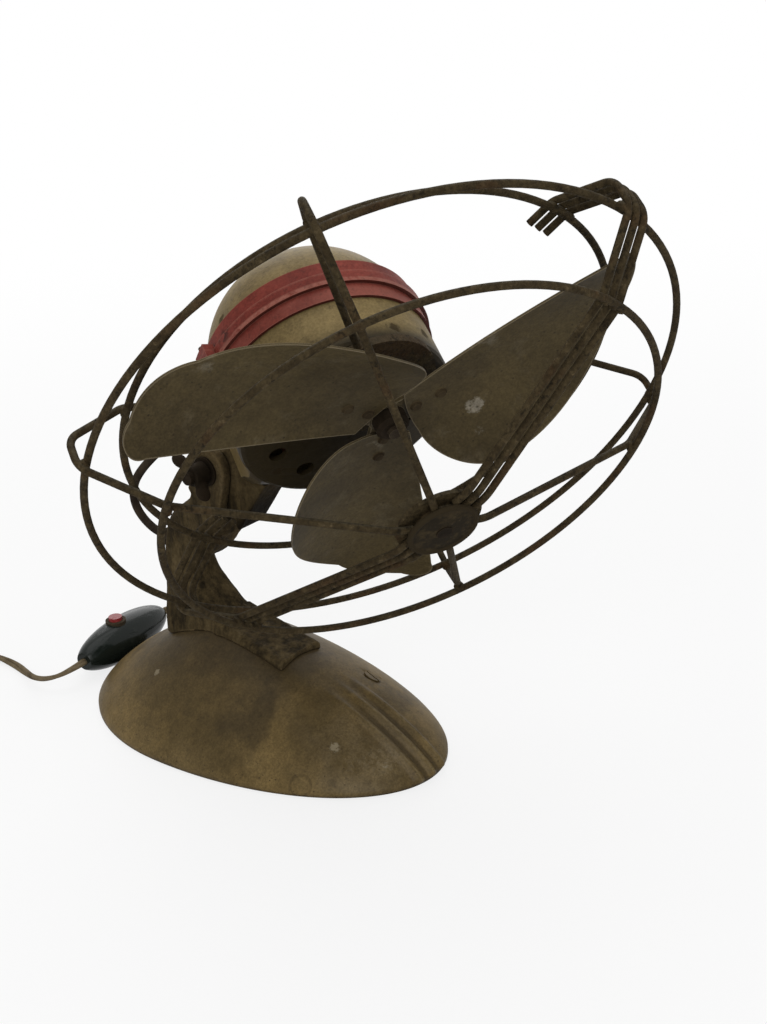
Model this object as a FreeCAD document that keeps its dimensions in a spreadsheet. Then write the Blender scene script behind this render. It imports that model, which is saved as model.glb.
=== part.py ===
import FreeCAD, Part
import math
import os

import Sketcher
from FreeCAD import Placement, Rotation, Vector

# A small mains desk fan. Millimetres. +Z is up and the nose of the base points to -Y.
# The origin lies on the floor under the widest line of the base.

doc = FreeCAD.newDocument("DeskFan")
sheet = doc.addObject("Spreadsheet::Sheet", "Sizes")

SIZES = [
    # base
    ("base_half_width", 61.6, "half of the base's greatest width"),
    ("base_nose", 118.5, "widest line to the tip of the nose"),
    ("base_tail", 82.8, "widest line to the tail"),
    ("base_crown", 48.3, "height of the dome above its rim"),
    ("base_rim", 2.8, "height of the upright rim"),
    ("base_wall", 3.0, "wall of the base casting"),
    ("dome_power", 1.3, "exponent of the dome's curve, 2 is an ellipse"),
    ("felt_thick", 1.2, "felt sole"),
    ("plate_thick", 1.5, "steel bottom plate"),
    ("seat_gap", 0.1, "gap between curved faces that seat on each other"),
    ("moving_gap", 0.35, "gap between pieces that move past each other"),
    ("pin_gap", 0.05, "radial running clearance of pins"),
    ("rib_rise", 1.7, "how far the ribs stand out at the nose"),
    ("rib_sink", 0.35, "how far the ribs' surface is lowered, so that they start low"),
    ("rib_wide", 4.2, "width of a rib"),
    ("rib_pitch", 8.0, "distance between ribs"),
    ("rib_start", 64.0, "where the ribs begin, in front of the widest line"),
    ("post_radius", 5.0, "screw posts inside the base"),
    ("post_side", 34.0, "screw posts, distance from the middle"),
    ("post_fore", 48.0, "front screw posts, distance from the widest line"),
    ("post_aft", 32.0, "rear screw posts, distance from the widest line"),
    ("sole_screw", 1.6, "radius of the bottom screws"),
    ("plug_radius", 4.2, "round plug beside the ribs"),
    # neck
    ("foot_half_width", 14.0, "half width of the neck's foot"),
    ("foot_front", 42.5, "front edge of the foot, in front of the widest line"),
    ("foot_rise", 2.2, "foot's top above the dome at its front edge"),
    ("foot_bevel", 1.8, "bevel along the foot's sides"),
    ("fork_half_width", 14.0, "half width across the fork's cheeks"),
    ("eye_radius", 11.0, "radius of the fork's eyes"),
    ("neck_bolt", 3.0, "radius of the bolts that hold the neck down"),
    # tilt hinge
    ("hinge_y", -5.13, "tilt bolt, along Y"),
    ("hinge_z", 131.06, "tilt bolt above the floor"),
    ("tilt_now", 36.57, "forward tilt as stored, degrees"),
    ("swivel_now", -22.42, "swivel as stored, degrees"),
    ("swivel_ahead", 14.0, "swivel pin in front of the tilt bolt"),
    ("bolt_radius", 3.0, "tilt bolt"),
    ("block_half_width", 8.25, "half width of the hinge block"),
    ("block_nose", 27.0, "hinge block in front of the tilt bolt"),
    ("block_half_tall", 16.0, "half height of the hinge block at its nose"),
    ("block_round", 10.4, "hinge block's radius about the tilt bolt"),
    ("swivel_pin", 4.0, "radius of the swivel pin"),
    # motor
    ("shaft_rise", 107.65, "shaft above the tilt bolt, along the swivel pin"),
    ("drum_rise", 84.4, "drum's axis above the tilt bolt"),
    ("drum_radius", 46.6, "motor drum"),
    ("drum_front", 35.8, "drum's front face, in front of the swivel pin"),
    ("drum_seam", 1.9, "seam between the housings, in front of the swivel pin"),
    ("dome_start", 0.8, "where the rear dome begins, in front of the swivel pin"),
    ("dome_deep", 47.5, "depth of the rear dome"),
    ("drum_wall", 2.4, "wall of the motor housings"),
    ("vent_radius", 4.0, "vent holes in the drum's face"),
    ("vent_circle", 32.0, "radius of the circle of vents"),
    ("band_fore", 12.0, "front edge of the band"),
    ("band_aft", 8.0, "rear edge of the band"),
    ("band_thick", 1.2, "thickness of the band"),
    ("band_rib", 1.6, "rise of the band's middle rib"),
    ("band_gap", 0.15, "gap under the band"),
    ("shaft_radius", 3.0, "motor shaft"),
    ("bush_radius", 5.5, "outside of the bearing bushes"),
    ("core_radius", 13.0, "rotor core"),
    # guard
    ("wire_radius", 1.5, "guard wire"),
    ("weld_gap", 0.02, "gap between wires at their welds"),
    ("guard_turn", 9.5, "guard turned about the shaft, degrees"),
    ("middle_ring", 123.5, "radius of the middle ring"),
    ("middle_ahead", 60.03, "middle ring in front of the swivel pin"),
    ("rear_ring", 103.1, "radius of the rear ring"),
    ("rear_ahead", 39.7, "rear ring in front of the swivel pin"),
    ("front_ring", 102.1, "radius of the front ring"),
    ("front_ahead", 86.2, "front ring in front of the swivel pin"),
    ("badge_ahead", 109.5, "wires at the badge, in front of the swivel pin"),
    ("triple_pitch", 5.5, "distance between the wires of a triple arm"),
    ("mount_radius", 27.0, "guard mount's outside"),
    ("mount_thick", 3.6, "guard mount's thickness"),
    ("badge_radius", 14.5, "badge disc"),
    ("badge_plate", 17.5, "plate behind the badge"),
    ("badge_thick", 1.6, "badge disc's and plate's thickness"),
    # blades
    ("hub_ahead", 56.1, "blade arms in front of the swivel pin"),
    ("hub_radius", 7.0, "hub"),
    ("blade_thick", 1.0, "blade sheet"),
    ("blade_pitch", -2.0, "angle of the blades to the plane of turning, degrees"),
    ("blade_cup", 65.0, "radius of the blades' cup"),
    ("blade_turn", 45.0, "polar angle of the first blade, degrees"),
    ("rivet_inner", 12.0, "inner rivet from the shaft"),
    ("rivet_outer", 23.0, "outer rivet from the shaft"),
    ("rivet_radius", 1.5, "rivet shank"),
    # wing nut
    ("wing_span", 13.5, "wing nut, axis to wing tip"),
    ("wing_thick", 3.4, "thickness of the wings"),
    ("nut_radius", 5.4, "wing nut's hub"),
    ("nut_long", 8.0, "wing nut's length"),
    ("washer_radius", 7.0, "washers on the tilt bolt"),
    ("washer_thick", 1.2, "washers on the tilt bolt"),
    # mains lead
    ("cord_radius", 2.0, "mains cord"),
    ("lead_radius", 2.1, "lead between neck and motor"),
    ("switch_half_long", 31.0, "half length of the cord switch"),
    ("switch_radius", 11.5, "radius of the cord switch"),
    ("switch_wall", 1.8, "wall of the cord switch"),
    ("switch_x", 4.0, "cord switch, along X"),
    ("switch_y", 80.7, "cord switch, along Y"),
    ("switch_turn", 8.0, "cord switch turned about the vertical, degrees"),
    ("button_radius", 3.6, "switch button"),
    ("collar_radius", 5.4, "collar around the button"),
    ("coil_radius", 24.0, "put-away coil of cord, to the middle of its turns"),
    ("coil_bundle", 8.6, "radius of the coil's bundle"),
    ("plug_round", 14.0, "radius of the plug's face"),
    ("plug_long", 26.0, "plug body's length"),
    ("pin_spacing", 19.0, "plug pins, middle to middle"),
    ("plug_pin", 2.0, "plug pin's radius"),
    ("plug_pin_long", 19.0, "plug pin's length"),
]


class Size:
    """A number together with the spreadsheet expression that it comes from."""

    def __init__(self, value, text):
        self.value = float(value)
        self.text = text

    def _with(self, other, sign, value):
        words = other.text if isinstance(other, Size) else "%.9g" % other
        return Size(value, "(%s %s %s)" % (self.text, sign, words))

    def __float__(self):
        return self.value

    def __add__(self, other):
        return self._with(other, "+", self.value + float(other))

    def __sub__(self, other):
        return self._with(other, "-", self.value - float(other))

    def __mul__(self, other):
        return self._with(other, "*", self.value * float(other))

    def __truediv__(self, other):
        return self._with(other, "/", self.value / float(other))

    def __radd__(self, other):
        return self + other

    def __rsub__(self, other):
        return self * -1 + other

    def __rmul__(self, other):
        return self * other

    def __neg__(self):
        return self * -1


class Named:
    """Holds every driving size under its own name."""


SZ = Named()
for row, (alias, amount, meaning) in enumerate(SIZES, start=1):
    sheet.set("A%d" % row, str(amount))
    sheet.setAlias("A%d" % row, alias)
    sheet.set("B%d" % row, meaning)
    setattr(SZ, alias, Size(amount, "Sizes." + alias))
doc.recompute()

nodes = []


# ---------------------------------------------------------------- helpers

def bind(thing, prop, size):
    """Sets a property and ties it to the spreadsheet."""
    setattr(thing, prop, float(size))
    if isinstance(size, Size):
        thing.setExpression(prop, size.text)


def vec(*parts):
    return Vector(*[float(p) for p in parts])


def frame_at(frame, x=0.0, y=0.0, z=0.0, spin=None):
    """A frame moved by x, y, z and then turned by the rotation spin."""
    return frame * Placement(vec(x, y, z), spin or Rotation())


def node(thing, name):
    """Names a finished piece; its STEP file gets the same name."""
    thing.Label = name
    nodes.append(thing)
    return thing


def cylinder(frame, start, axis, radius, length):
    part = doc.addObject("Part::Cylinder", "Cylinder")
    bind(part, "Radius", radius)
    bind(part, "Height", length)
    part.Placement = frame * Placement(vec(*start), Rotation(Vector(0, 0, 1), vec(*axis)))
    return part


def box(frame, middle, sizes, spin=None):
    """A box by its middle and its three sizes, turned about its own middle."""
    part = doc.addObject("Part::Box", "Box")
    for prop, size in zip(("Length", "Width", "Height"), sizes):
        bind(part, prop, size)
    half = vec(*sizes) * -0.5
    turned = Placement(vec(*middle), spin or Rotation())
    part.Placement = frame * turned * Placement(half, Rotation())
    return part


def cone(frame, start, axis, radius, far_radius, length):
    part = doc.addObject("Part::Cone", "Cone")
    bind(part, "Radius1", radius)
    bind(part, "Radius2", far_radius)
    bind(part, "Height", length)
    part.Placement = frame * Placement(vec(*start), Rotation(Vector(0, 0, 1), vec(*axis)))
    return part


def solid(name, shape):
    part = doc.addObject("Part::Feature", name)
    part.Shape = shape
    return part


def fuse(*parts):
    joined = doc.addObject("Part::MultiFuse", "Fuse")
    joined.Shapes = list(parts)
    joined.Refine = True
    return joined


def cut(base, *tools):
    """Cuts every tool from the base."""
    tool = tools[0] if len(tools) == 1 else fuse(*tools)
    result = doc.addObject("Part::Cut", "Cut")
    result.Base = base
    result.Tool = tool
    return result


def common(first, second):
    result = doc.addObject("Part::Common", "Common")
    result.Base = first
    result.Tool = second
    return result


def tube(frame, start, axis, outer, inner, length):
    """A washer, bush or collar."""
    whole = cylinder(frame, start, axis, outer, length)
    hole = cylinder(frame, start, axis, inner, length)
    return cut(whole, hole)


def origin_plane(body, role):
    for feature in body.Origin.OriginFeatures:
        if feature.Role == role:
            return feature


def new_body(name, frame):
    body = doc.addObject("PartDesign::Body", name)
    body.Placement = frame
    return body


def attach(body, role, offset=None):
    sketch = body.newObject("Sketcher::SketchObject", "Sketch")
    sketch.AttachmentSupport = (origin_plane(body, role), "")
    sketch.MapMode = "FlatFace"
    if offset:
        sketch.AttachmentOffset = offset
    return sketch


def draw_polygon(sketch, points):
    """A closed outline whose corners are held by dimensions from the origin."""
    corners = [vec(a, b, 0) for a, b in points]
    count = len(corners)
    for k in range(count):
        sketch.addGeometry(Part.LineSegment(corners[k], corners[(k + 1) % count]))
    for k in range(count):
        sketch.addConstraint(Sketcher.Constraint("Coincident", k, 2, (k + 1) % count, 1))
    for k, corner in enumerate(points):
        for kind, axis, size in (("DistanceX", -2, corner[0]), ("DistanceY", -1, corner[1])):
            if abs(float(size)) < 1e-9:
                sketch.addConstraint(Sketcher.Constraint("PointOnObject", k, 1, axis))
                continue
            held = sketch.addConstraint(Sketcher.Constraint(kind, -1, 1, k, 1, float(size)))
            if isinstance(size, Size):
                sketch.setExpression("Constraints[%d]" % held, size.text)


def prism(frame, role, points, width):
    """A polygon on one of the body's planes, padded the same way to both sides."""
    body = new_body("Prism", frame)
    sketch = attach(body, role)
    draw_polygon(sketch, points)
    pad = body.newObject("PartDesign::Pad", "Pad")
    pad.Profile = sketch
    pad.SideType = "Symmetric"
    bind(pad, "Length", width)
    return body


def turned(frame, points):
    """Turns an outline of (along Y, radius) about the body's Y axis."""
    body = new_body("Turned", frame)
    sketch = attach(body, "YZ_Plane")
    draw_polygon(sketch, points)
    revolution = body.newObject("PartDesign::Revolution", "Revolution")
    revolution.Profile = sketch
    revolution.ReferenceAxis = (sketch, ["H_Axis"])
    revolution.Angle = 360
    return body


def rounded_path(points, fraction=0.45, bends=None):
    """Straight runs joined by tangent arcs, with the radius of each arc.

    An arc takes a fraction of its shorter run, or its own radius from bends.
    """
    edges = []
    radii = []
    start = points[0]
    for k in range(1, len(points) - 1):
        before = points[k - 1] - points[k]
        after = points[k + 1] - points[k]
        turn = math.pi - before.getAngle(after)
        reach = fraction * min(before.Length, after.Length)
        if bends:
            reach = bends[k - 1] * math.tan(turn / 2)
        radius = reach / math.tan(turn / 2)
        before.normalize()
        after.normalize()
        first = points[k] + before * reach
        last = points[k] + after * reach
        inward = before + after
        inward.normalize()
        middle = points[k] + inward * (radius / math.cos(turn / 2) - radius)
        edges.append(Part.LineSegment(start, first).toShape())
        edges.append(Part.Arc(first, middle, last).toShape())
        radii.append(radius)
        start = last
    edges.append(Part.LineSegment(start, points[-1]).toShape())
    return Part.Wire(edges), radii


def sweep(name, wire, radius):
    """A round rod along a wire; its volume is checked against section times length."""
    first = wire.OrderedEdges[0]
    heading = first.tangentAt(first.FirstParameter)
    ring = doc.addObject("Part::Circle", "Section")
    bind(ring, "Radius", radius)
    ring.Placement = Placement(wire.OrderedVertexes[0].Point, Rotation(Vector(0, 0, 1), heading))
    spine = solid("Spine", wire)
    rod = doc.addObject("Part::Sweep", name)
    rod.Sections = [ring]
    rod.Spine = (spine, [])
    rod.Solid = True
    rod.Frenet = True
    doc.recompute()
    expected = math.pi * float(radius) ** 2 * wire.Length
    if abs(rod.Shape.Volume - expected) > 0.01 * expected:
        raise RuntimeError("%s: volume %.1f, expected %.1f" % (name, rod.Shape.Volume, expected))
    return rod


def cord_tube(name, points, radius):
    """A cord along hand-picked points; prints how tight its bends are."""
    wire, radii = rounded_path([vec(*p) for p in points])
    dias = [r / (2 * float(radius)) for r in radii]
    print(name, "length %.0f, bends in diameters:" % wire.Length, ["%.1f" % d for d in dias])
    return sweep(name, wire, radius)


X = (1, 0, 0)
Y = (0, 1, 0)
Z = (0, 0, 1)
BACK_X = (-1, 0, 0)
FORE = (0, -1, 0)
DOWN = (0, 0, -1)

STAND = Placement()
HINGE = frame_at(STAND, 0, SZ.hinge_y, SZ.hinge_z)
TILT = frame_at(HINGE, spin=Rotation(Vector(1, 0, 0), float(SZ.tilt_now)))
SWIVEL_SEAT = frame_at(TILT, 0, -SZ.swivel_ahead, 0)
HEAD = frame_at(SWIVEL_SEAT, spin=Rotation(Vector(0, 0, 1), float(SZ.swivel_now)))
DRUM = frame_at(HEAD, 0, 0, SZ.drum_rise)
SHAFT = frame_at(HEAD, 0, 0, SZ.shaft_rise)


# ---------------------------------------------------------------- base

def dome(grow, floor):
    """The base's dome, its walls moved outwards by grow, standing from floor."""
    half_width = float(SZ.base_half_width) + grow
    crown = float(SZ.base_crown) + grow
    rim = float(SZ.base_rim)
    power = 2 / float(SZ.dome_power)
    steps = 16
    curve_points = []
    for k in range(steps + 1):
        angle = math.pi / 2 * k / steps
        out = half_width * math.cos(angle) ** power if k < steps else 0.0
        curve_points.append(Vector(out, 0, rim + crown * math.sin(angle) ** power))
    curve = Part.BSplineCurve()
    curve.interpolate(curve_points)
    top = curve_points[-1]
    foot = Vector(half_width, 0, floor)
    centre = Vector(0, 0, floor)
    outline = Part.Wire([
        Part.LineSegment(centre, foot).toShape(),
        Part.LineSegment(foot, curve_points[0]).toShape(),
        curve.toShape(),
        Part.LineSegment(top, centre).toShape(),
    ])
    face = Part.Face(outline)
    halves = []
    for turn, reach in ((-180, float(SZ.base_nose)), (180, float(SZ.base_tail))):
        half = face.revolve(Vector(0, 0, 0), Vector(0, 0, 1), turn)
        stretch = FreeCAD.Matrix()
        stretch.A22 = (reach + grow) / half_width
        halves.append(half.transformGeometry(stretch))
    return halves[0].fuse(halves[1])


def dome_height(x, y, grow=0.0):
    """Height of the dome's surface over the floor at x, y."""
    reach = float(SZ.base_nose if y < 0 else SZ.base_tail) + grow
    away = math.hypot(x / (float(SZ.base_half_width) + grow), y / reach)
    power = float(SZ.dome_power)
    return float(SZ.base_rim) + (float(SZ.base_crown) + grow) * (1 - away ** power) ** (1 / power)


plate_top = SZ.felt_thick + SZ.plate_thick
RIM_BOTTOM = 0.6
POSTS = [(side * float(SZ.post_side), y) for side in (-1, 1)
         for y in (-float(SZ.post_fore), float(SZ.post_aft))]
PLUG_AT = (22.0, -67.0)
GROMMET_AT = (40.0, 55.6, 10.0)
GROMMET_WAY = (0.792, 0.610, 0.0)
GROMMET_RADIUS = 4.3
NECK_BOLTS = [(0.0, 12.0), (0.0, 29.0)]
SCREW_DEEP = 9.0

outer_dome = solid("OuterDome", dome(0.0, RIM_BOTTOM))
inner_dome = solid("InnerDome", dome(-float(SZ.base_wall), RIM_BOTTOM - 1))
ribbed_dome = solid("RibbedDome", dome(0.0, RIM_BOTTOM + float(SZ.rib_sink)))
ribbed_dome.Placement = Placement(vec(0, -float(SZ.rib_rise), -float(SZ.rib_sink)), Rotation())
rib_long = SZ.base_nose - SZ.rib_start + 5
ribs = []
for k in (-1, 0, 1):
    ribs.append(box(STAND, (SZ.rib_pitch * k, -(SZ.rib_start + rib_long / 2), 30), (SZ.rib_wide, rib_long, 60)))
ribbed = fuse(outer_dome, common(ribbed_dome, fuse(*ribs)))
hollow = cut(ribbed, inner_dome)
post_parts = [cylinder(STAND, (x, y, plate_top), Z, SZ.post_radius, 60) for x, y in POSTS]
posts = common(outer_dome, fuse(*post_parts))
shell = fuse(hollow, posts)
plug_z = dome_height(*PLUG_AT)
step = 0.5
slope_x = (dome_height(PLUG_AT[0] + step, PLUG_AT[1]) - plug_z) / step
slope_y = (dome_height(PLUG_AT[0], PLUG_AT[1] + step) - plug_z) / step
PLUG_WAY = Vector(-slope_x, -slope_y, 1).normalize()
plug_seat = vec(PLUG_AT[0], PLUG_AT[1], plug_z) - PLUG_WAY * 2.6
shell = cut(
    shell,
    *[cylinder(STAND, (x, y, 0), Z, SZ.sole_screw, SCREW_DEEP) for x, y in POSTS],
    *[cylinder(STAND, (x, y, 20), Z, SZ.neck_bolt + SZ.moving_gap, 40) for x, y in NECK_BOLTS],
    cylinder(STAND, plug_seat - PLUG_WAY * 6, PLUG_WAY, SZ.plug_radius - 1.4, 20),
    cylinder(STAND, plug_seat, PLUG_WAY, SZ.plug_radius + SZ.seat_gap, 20),
    cylinder(STAND, vec(*GROMMET_AT) - vec(*GROMMET_WAY) * 14, GROMMET_WAY, GROMMET_RADIUS + 0.1, 30),
)
node(shell, "base_shell")


def sole(grow, low, thick):
    """A flat plate with the base's outline, moved by grow: two half ellipses that share their width."""
    half_width = float(SZ.base_half_width) + grow
    edges = []
    for side, reach in ((-1, float(SZ.base_nose)), (1, float(SZ.base_tail))):
        oval = Part.Ellipse(vec(0, side * (reach + grow), low), vec(half_width, 0, low), vec(0, 0, low))
        edges.append(Part.Arc(oval, -math.pi / 2, math.pi / 2).toShape())
    return Part.Face(Part.Wire(Part.__sortEdges__(edges))).extrude(vec(0, 0, thick))


inset = float(SZ.base_wall) + 0.4
felt = solid("Felt", sole(-inset, 0.0, float(SZ.felt_thick)))
node(cut(felt, *[cylinder(STAND, (x, y, 0), Z, 4.0, SZ.felt_thick) for x, y in POSTS]), "base_felt")
bottom = solid("Bottom", sole(-inset, float(SZ.felt_thick), float(SZ.plate_thick)))
holes = [cylinder(STAND, (x, y, 0), Z, SZ.sole_screw + 0.2, 5) for x, y in POSTS]
node(cut(bottom, *holes), "base_bottom_plate")

screws = []
for x, y in POSTS:
    screws.append(cylinder(STAND, (x, y, SZ.felt_thick - 0.9), Z, 3.2, 0.9))
    screws.append(cylinder(STAND, (x, y, SZ.felt_thick - 0.9), Z, SZ.sole_screw - 0.02, SCREW_DEEP - 1.0))
node(fuse(*screws), "base_screws")

plug = cylinder(STAND, plug_seat, PLUG_WAY, SZ.plug_radius, 3.0)
slot = box(frame_at(STAND, *plug_seat, Rotation(Vector(0, 0, 1), PLUG_WAY)), (0, 0, 3.0), (1.1, 12, 1.4))
node(cut(plug, slot), "nose_plug")


# ---------------------------------------------------------------- neck

NECK_SECTIONS = [
    # front of the section (y, z), rear of the section (y, z), half width
    ((-18.0, 38.0), (37.0, 38.0), 13.9),
    ((0.0, 52.0), (37.0, 52.0), 12.6),
    ((11.0, 63.0), (36.8, 63.0), 11.2),
    ((18.0, 75.0), (36.4, 76.0), 10.2),
    ((13.0, 79.5), (33.0, 92.5), 10.4),
    ((2.5, 88.5), (20.5, 107.5), 12.0),
    ((-8.0, 97.5), (8.0, 120.0), 13.9),
]
SECTION_CORNER = 4.5


def neck_section(body, front, rear, half_width):
    """A rounded rectangle across the neck, between its front and rear points."""
    front = vec(0, *front)
    rear = vec(0, *rear)
    across = rear - front
    lean = math.degrees(math.atan2(across.z, across.y))
    offset = Placement((front + rear) * 0.5, Rotation(Vector(1, 0, 0), lean))
    sketch = attach(body, "XY_Plane", offset)
    wide = half_width
    deep = across.Length / 2
    corner = SECTION_CORNER
    sides = [(wide, -deep + corner, wide, deep - corner), (wide - corner, deep, corner - wide, deep),
             (-wide, deep - corner, -wide, corner - deep), (corner - wide, -deep, wide - corner, -deep)]
    centres = [(wide - corner, deep - corner), (corner - wide, deep - corner),
               (corner - wide, corner - deep), (wide - corner, corner - deep)]
    for k in range(4):
        x1, y1, x2, y2 = sides[k]
        sketch.addGeometry(Part.LineSegment(vec(x1, y1, 0), vec(x2, y2, 0)))
        ring = Part.Circle(vec(*centres[k], 0), Vector(0, 0, 1), corner)
        sketch.addGeometry(Part.ArcOfCircle(ring, k * math.pi / 2, (k + 1) * math.pi / 2))
    for k in range(8):
        sketch.addConstraint(Sketcher.Constraint("Coincident", k, 2, (k + 1) % 8, 1))
    return sketch


neck_body = new_body("NeckBody", STAND)
sections = [neck_section(neck_body, *section) for section in NECK_SECTIONS]
loft = neck_body.newObject("PartDesign::AdditiveLoft", "Loft")
loft.Profile = sections[0]
loft.Sections = sections[1:]
loft.Ruled = False

foot_top_front = dome_height(0.0, -float(SZ.foot_front)) + float(SZ.foot_rise)
foot_body = new_body("FootBody", STAND)
foot_sketches = []
for y, top in ((-float(SZ.foot_front), foot_top_front), (2.0, 53.0)):
    sketch = attach(foot_body, "XZ_Plane", Placement(Vector(0, 0, -y), Rotation()))
    wide = SZ.foot_half_width
    bevel = SZ.foot_bevel
    draw_polygon(sketch, [(-wide, 30), (wide, 30), (wide, top - float(bevel)), (wide - bevel, top),
                          (bevel - wide, top), (-wide, top - float(bevel))])
    foot_sketches.append(sketch)
foot_loft = foot_body.newObject("PartDesign::AdditiveLoft", "FootLoft")
foot_loft.Profile = foot_sketches[0]
foot_loft.Sections = foot_sketches[1:]
foot_loft.Ruled = True

cheek_points = [(-8.0, 97.5), (8.0, 120.0), (4.0, 137.0), (SZ.hinge_y - 10.6, SZ.hinge_z - 3.0)]
cheeks = prism(STAND, "YZ_Plane", cheek_points, SZ.fork_half_width * 2)
eyes = cylinder(HINGE, (-SZ.fork_half_width, 0, 0), X, SZ.eye_radius, SZ.fork_half_width * 2)

fork_gap = SZ.block_half_width + SZ.moving_gap
clear = SZ.block_round + 0.8
TILT_DOWN = 4.0
tilt_lowest = frame_at(TILT, spin=Rotation(Vector(1, 0, 0), TILT_DOWN))
slot_round = cylinder(HINGE, (-fork_gap, 0, 0), X, clear, fork_gap * 2)
slot_points = [(0, -clear), (0, 60), (-60, 60), (-60, -(SZ.block_half_tall + 15)),
               (-SZ.block_nose, -(SZ.block_half_tall + 0.9))]
slot_fore = prism(tilt_lowest, "YZ_Plane", slot_points, fork_gap * 2)
seat_dome = solid("SeatDome", dome(float(SZ.seat_gap), -5.0))
neck_bolt_holes = [cylinder(STAND, (x, y, 30), Z, SZ.neck_bolt, dome_height(x, y) - 30 + 8)
                   for x, y in NECK_BOLTS]
LEAD_MOUTH = (-3.0, 37.0, 85.0)
neck = cut(
    fuse(neck_body, foot_body, cheeks, eyes),
    slot_round,
    slot_fore,
    seat_dome,
    cylinder(HINGE, (-30, 0, 0), X, SZ.bolt_radius + SZ.pin_gap, 60),
    cylinder(STAND, vec(*LEAD_MOUTH) + vec(0, 3, 0), FORE, 3.6, 12),
    *neck_bolt_holes,
)
node(neck, "neck")

bolts = []
for x, y in NECK_BOLTS:
    under = dome_height(x, y, -float(SZ.base_wall)) - 2.6
    bolts.append(cylinder(STAND, (x, y, under - 3.0), Z, 5.0, 3.0))
    bolts.append(cylinder(STAND, (x, y, under - 3.0), Z, SZ.neck_bolt - 0.02, 14.5))
node(fuse(*bolts), "neck_bolts")

mouth = vec(*LEAD_MOUTH)
bushing = fuse(cylinder(STAND, mouth + vec(0, -6, 0), Y, 3.5, 6.6),
               cylinder(STAND, mouth + vec(0, 0.3, 0), Y, 4.6, 1.4))
node(cut(bushing, cylinder(STAND, mouth + vec(0, -10, 0), Y, SZ.lead_radius + 0.05, 20)), "neck_bushing")


# ---------------------------------------------------------------- tilt hinge

block_points = [(0, -SZ.block_round), (0, SZ.block_half_tall), (-SZ.block_nose, SZ.block_half_tall),
                (-SZ.block_nose, -SZ.block_half_tall)]
block = fuse(
    prism(TILT, "YZ_Plane", block_points, SZ.block_half_width * 2),
    cylinder(TILT, (-SZ.block_half_width, 0, 0), X, SZ.block_round, SZ.block_half_width * 2),
)
PIN_FOOT = 4.0
block = cut(
    block,
    cylinder(TILT, (-20, 0, 0), X, SZ.bolt_radius + SZ.pin_gap, 40),
    cylinder(SWIVEL_SEAT, (0, 0, PIN_FOOT), Z, SZ.swivel_pin, 30),
    box(TILT, (0, SZ.block_round, SZ.block_half_tall + 4), (60, 11.0, 16)),
)
node(block, "hinge_block")
PIN_TOP = 33.0
node(cylinder(SWIVEL_SEAT, (0, 0, PIN_FOOT), Z, SZ.swivel_pin - 0.02, PIN_TOP - PIN_FOOT), "swivel_pin")

fork_out = SZ.fork_half_width
bolt_left = fork_out + SZ.washer_thick + SZ.nut_long + 3.0
bolt_head = fork_out + SZ.washer_thick
node(fuse(
    cylinder(HINGE, (-bolt_left, 0, 0), X, SZ.bolt_radius, bolt_left + bolt_head + 0.1),
    cylinder(HINGE, (bolt_head + 0.02, 0, 0), X, 6.2, 3.4),
    cone(HINGE, (bolt_head + 3.42, 0, 0), X, 6.2, 3.6, 1.4),
), "tilt_bolt")
washer_bore = SZ.bolt_radius + 0.3
node(tube(HINGE, (fork_out + 0.01, 0, 0), X, SZ.washer_radius, washer_bore, SZ.washer_thick - 0.01), "tilt_washer")
node(tube(HINGE, (-(fork_out + SZ.washer_thick), 0, 0), X, SZ.washer_radius, washer_bore,
          SZ.washer_thick - 0.01), "nut_washer")

nut_face = fork_out + SZ.washer_thick + SZ.moving_gap
NUT = frame_at(HINGE, -nut_face, 0, 0, Rotation(Vector(1, 0, 0), -45))
wings = []
for side in (-1, 1):
    wing_points = [(-0.5, side * 2.5), (-(SZ.nut_long - 1.0), side * 2.5),
                   (-(SZ.nut_long + 2.5), side * 9.0), (-(SZ.nut_long + 3.0), SZ.wing_span * side),
                   (-(SZ.nut_long - 3.0), SZ.wing_span * side), (-2.0, side * 6.5)]
    wings.append(prism(NUT, "XZ_Plane", wing_points, SZ.wing_thick))
wing_nut = cut(
    fuse(cone(NUT, (0, 0, 0), BACK_X, SZ.nut_radius, SZ.nut_radius - 1.0, SZ.nut_long), *wings),
    cylinder(NUT, (2, 0, 0), BACK_X, SZ.bolt_radius + SZ.pin_gap, 30),
)
node(wing_nut, "wing_nut")


# ---------------------------------------------------------------- motor

offset_up = SZ.shaft_rise - SZ.drum_rise
DRUM_FACE = -SZ.drum_front
SEAM = -SZ.drum_seam
front_outer = turned(DRUM, [(DRUM_FACE, 0), (DRUM_FACE, SZ.drum_radius - 2.2), (DRUM_FACE + 0.7, SZ.drum_radius - 0.7),
                            (DRUM_FACE + 2.2, SZ.drum_radius), (SEAM, SZ.drum_radius), (SEAM, 0)])
front_hollow = turned(DRUM, [(DRUM_FACE + SZ.drum_wall, 0), (DRUM_FACE + SZ.drum_wall, SZ.drum_radius - SZ.drum_wall),
                             (SEAM + 5, SZ.drum_radius - SZ.drum_wall), (SEAM + 5, 0)])

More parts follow.
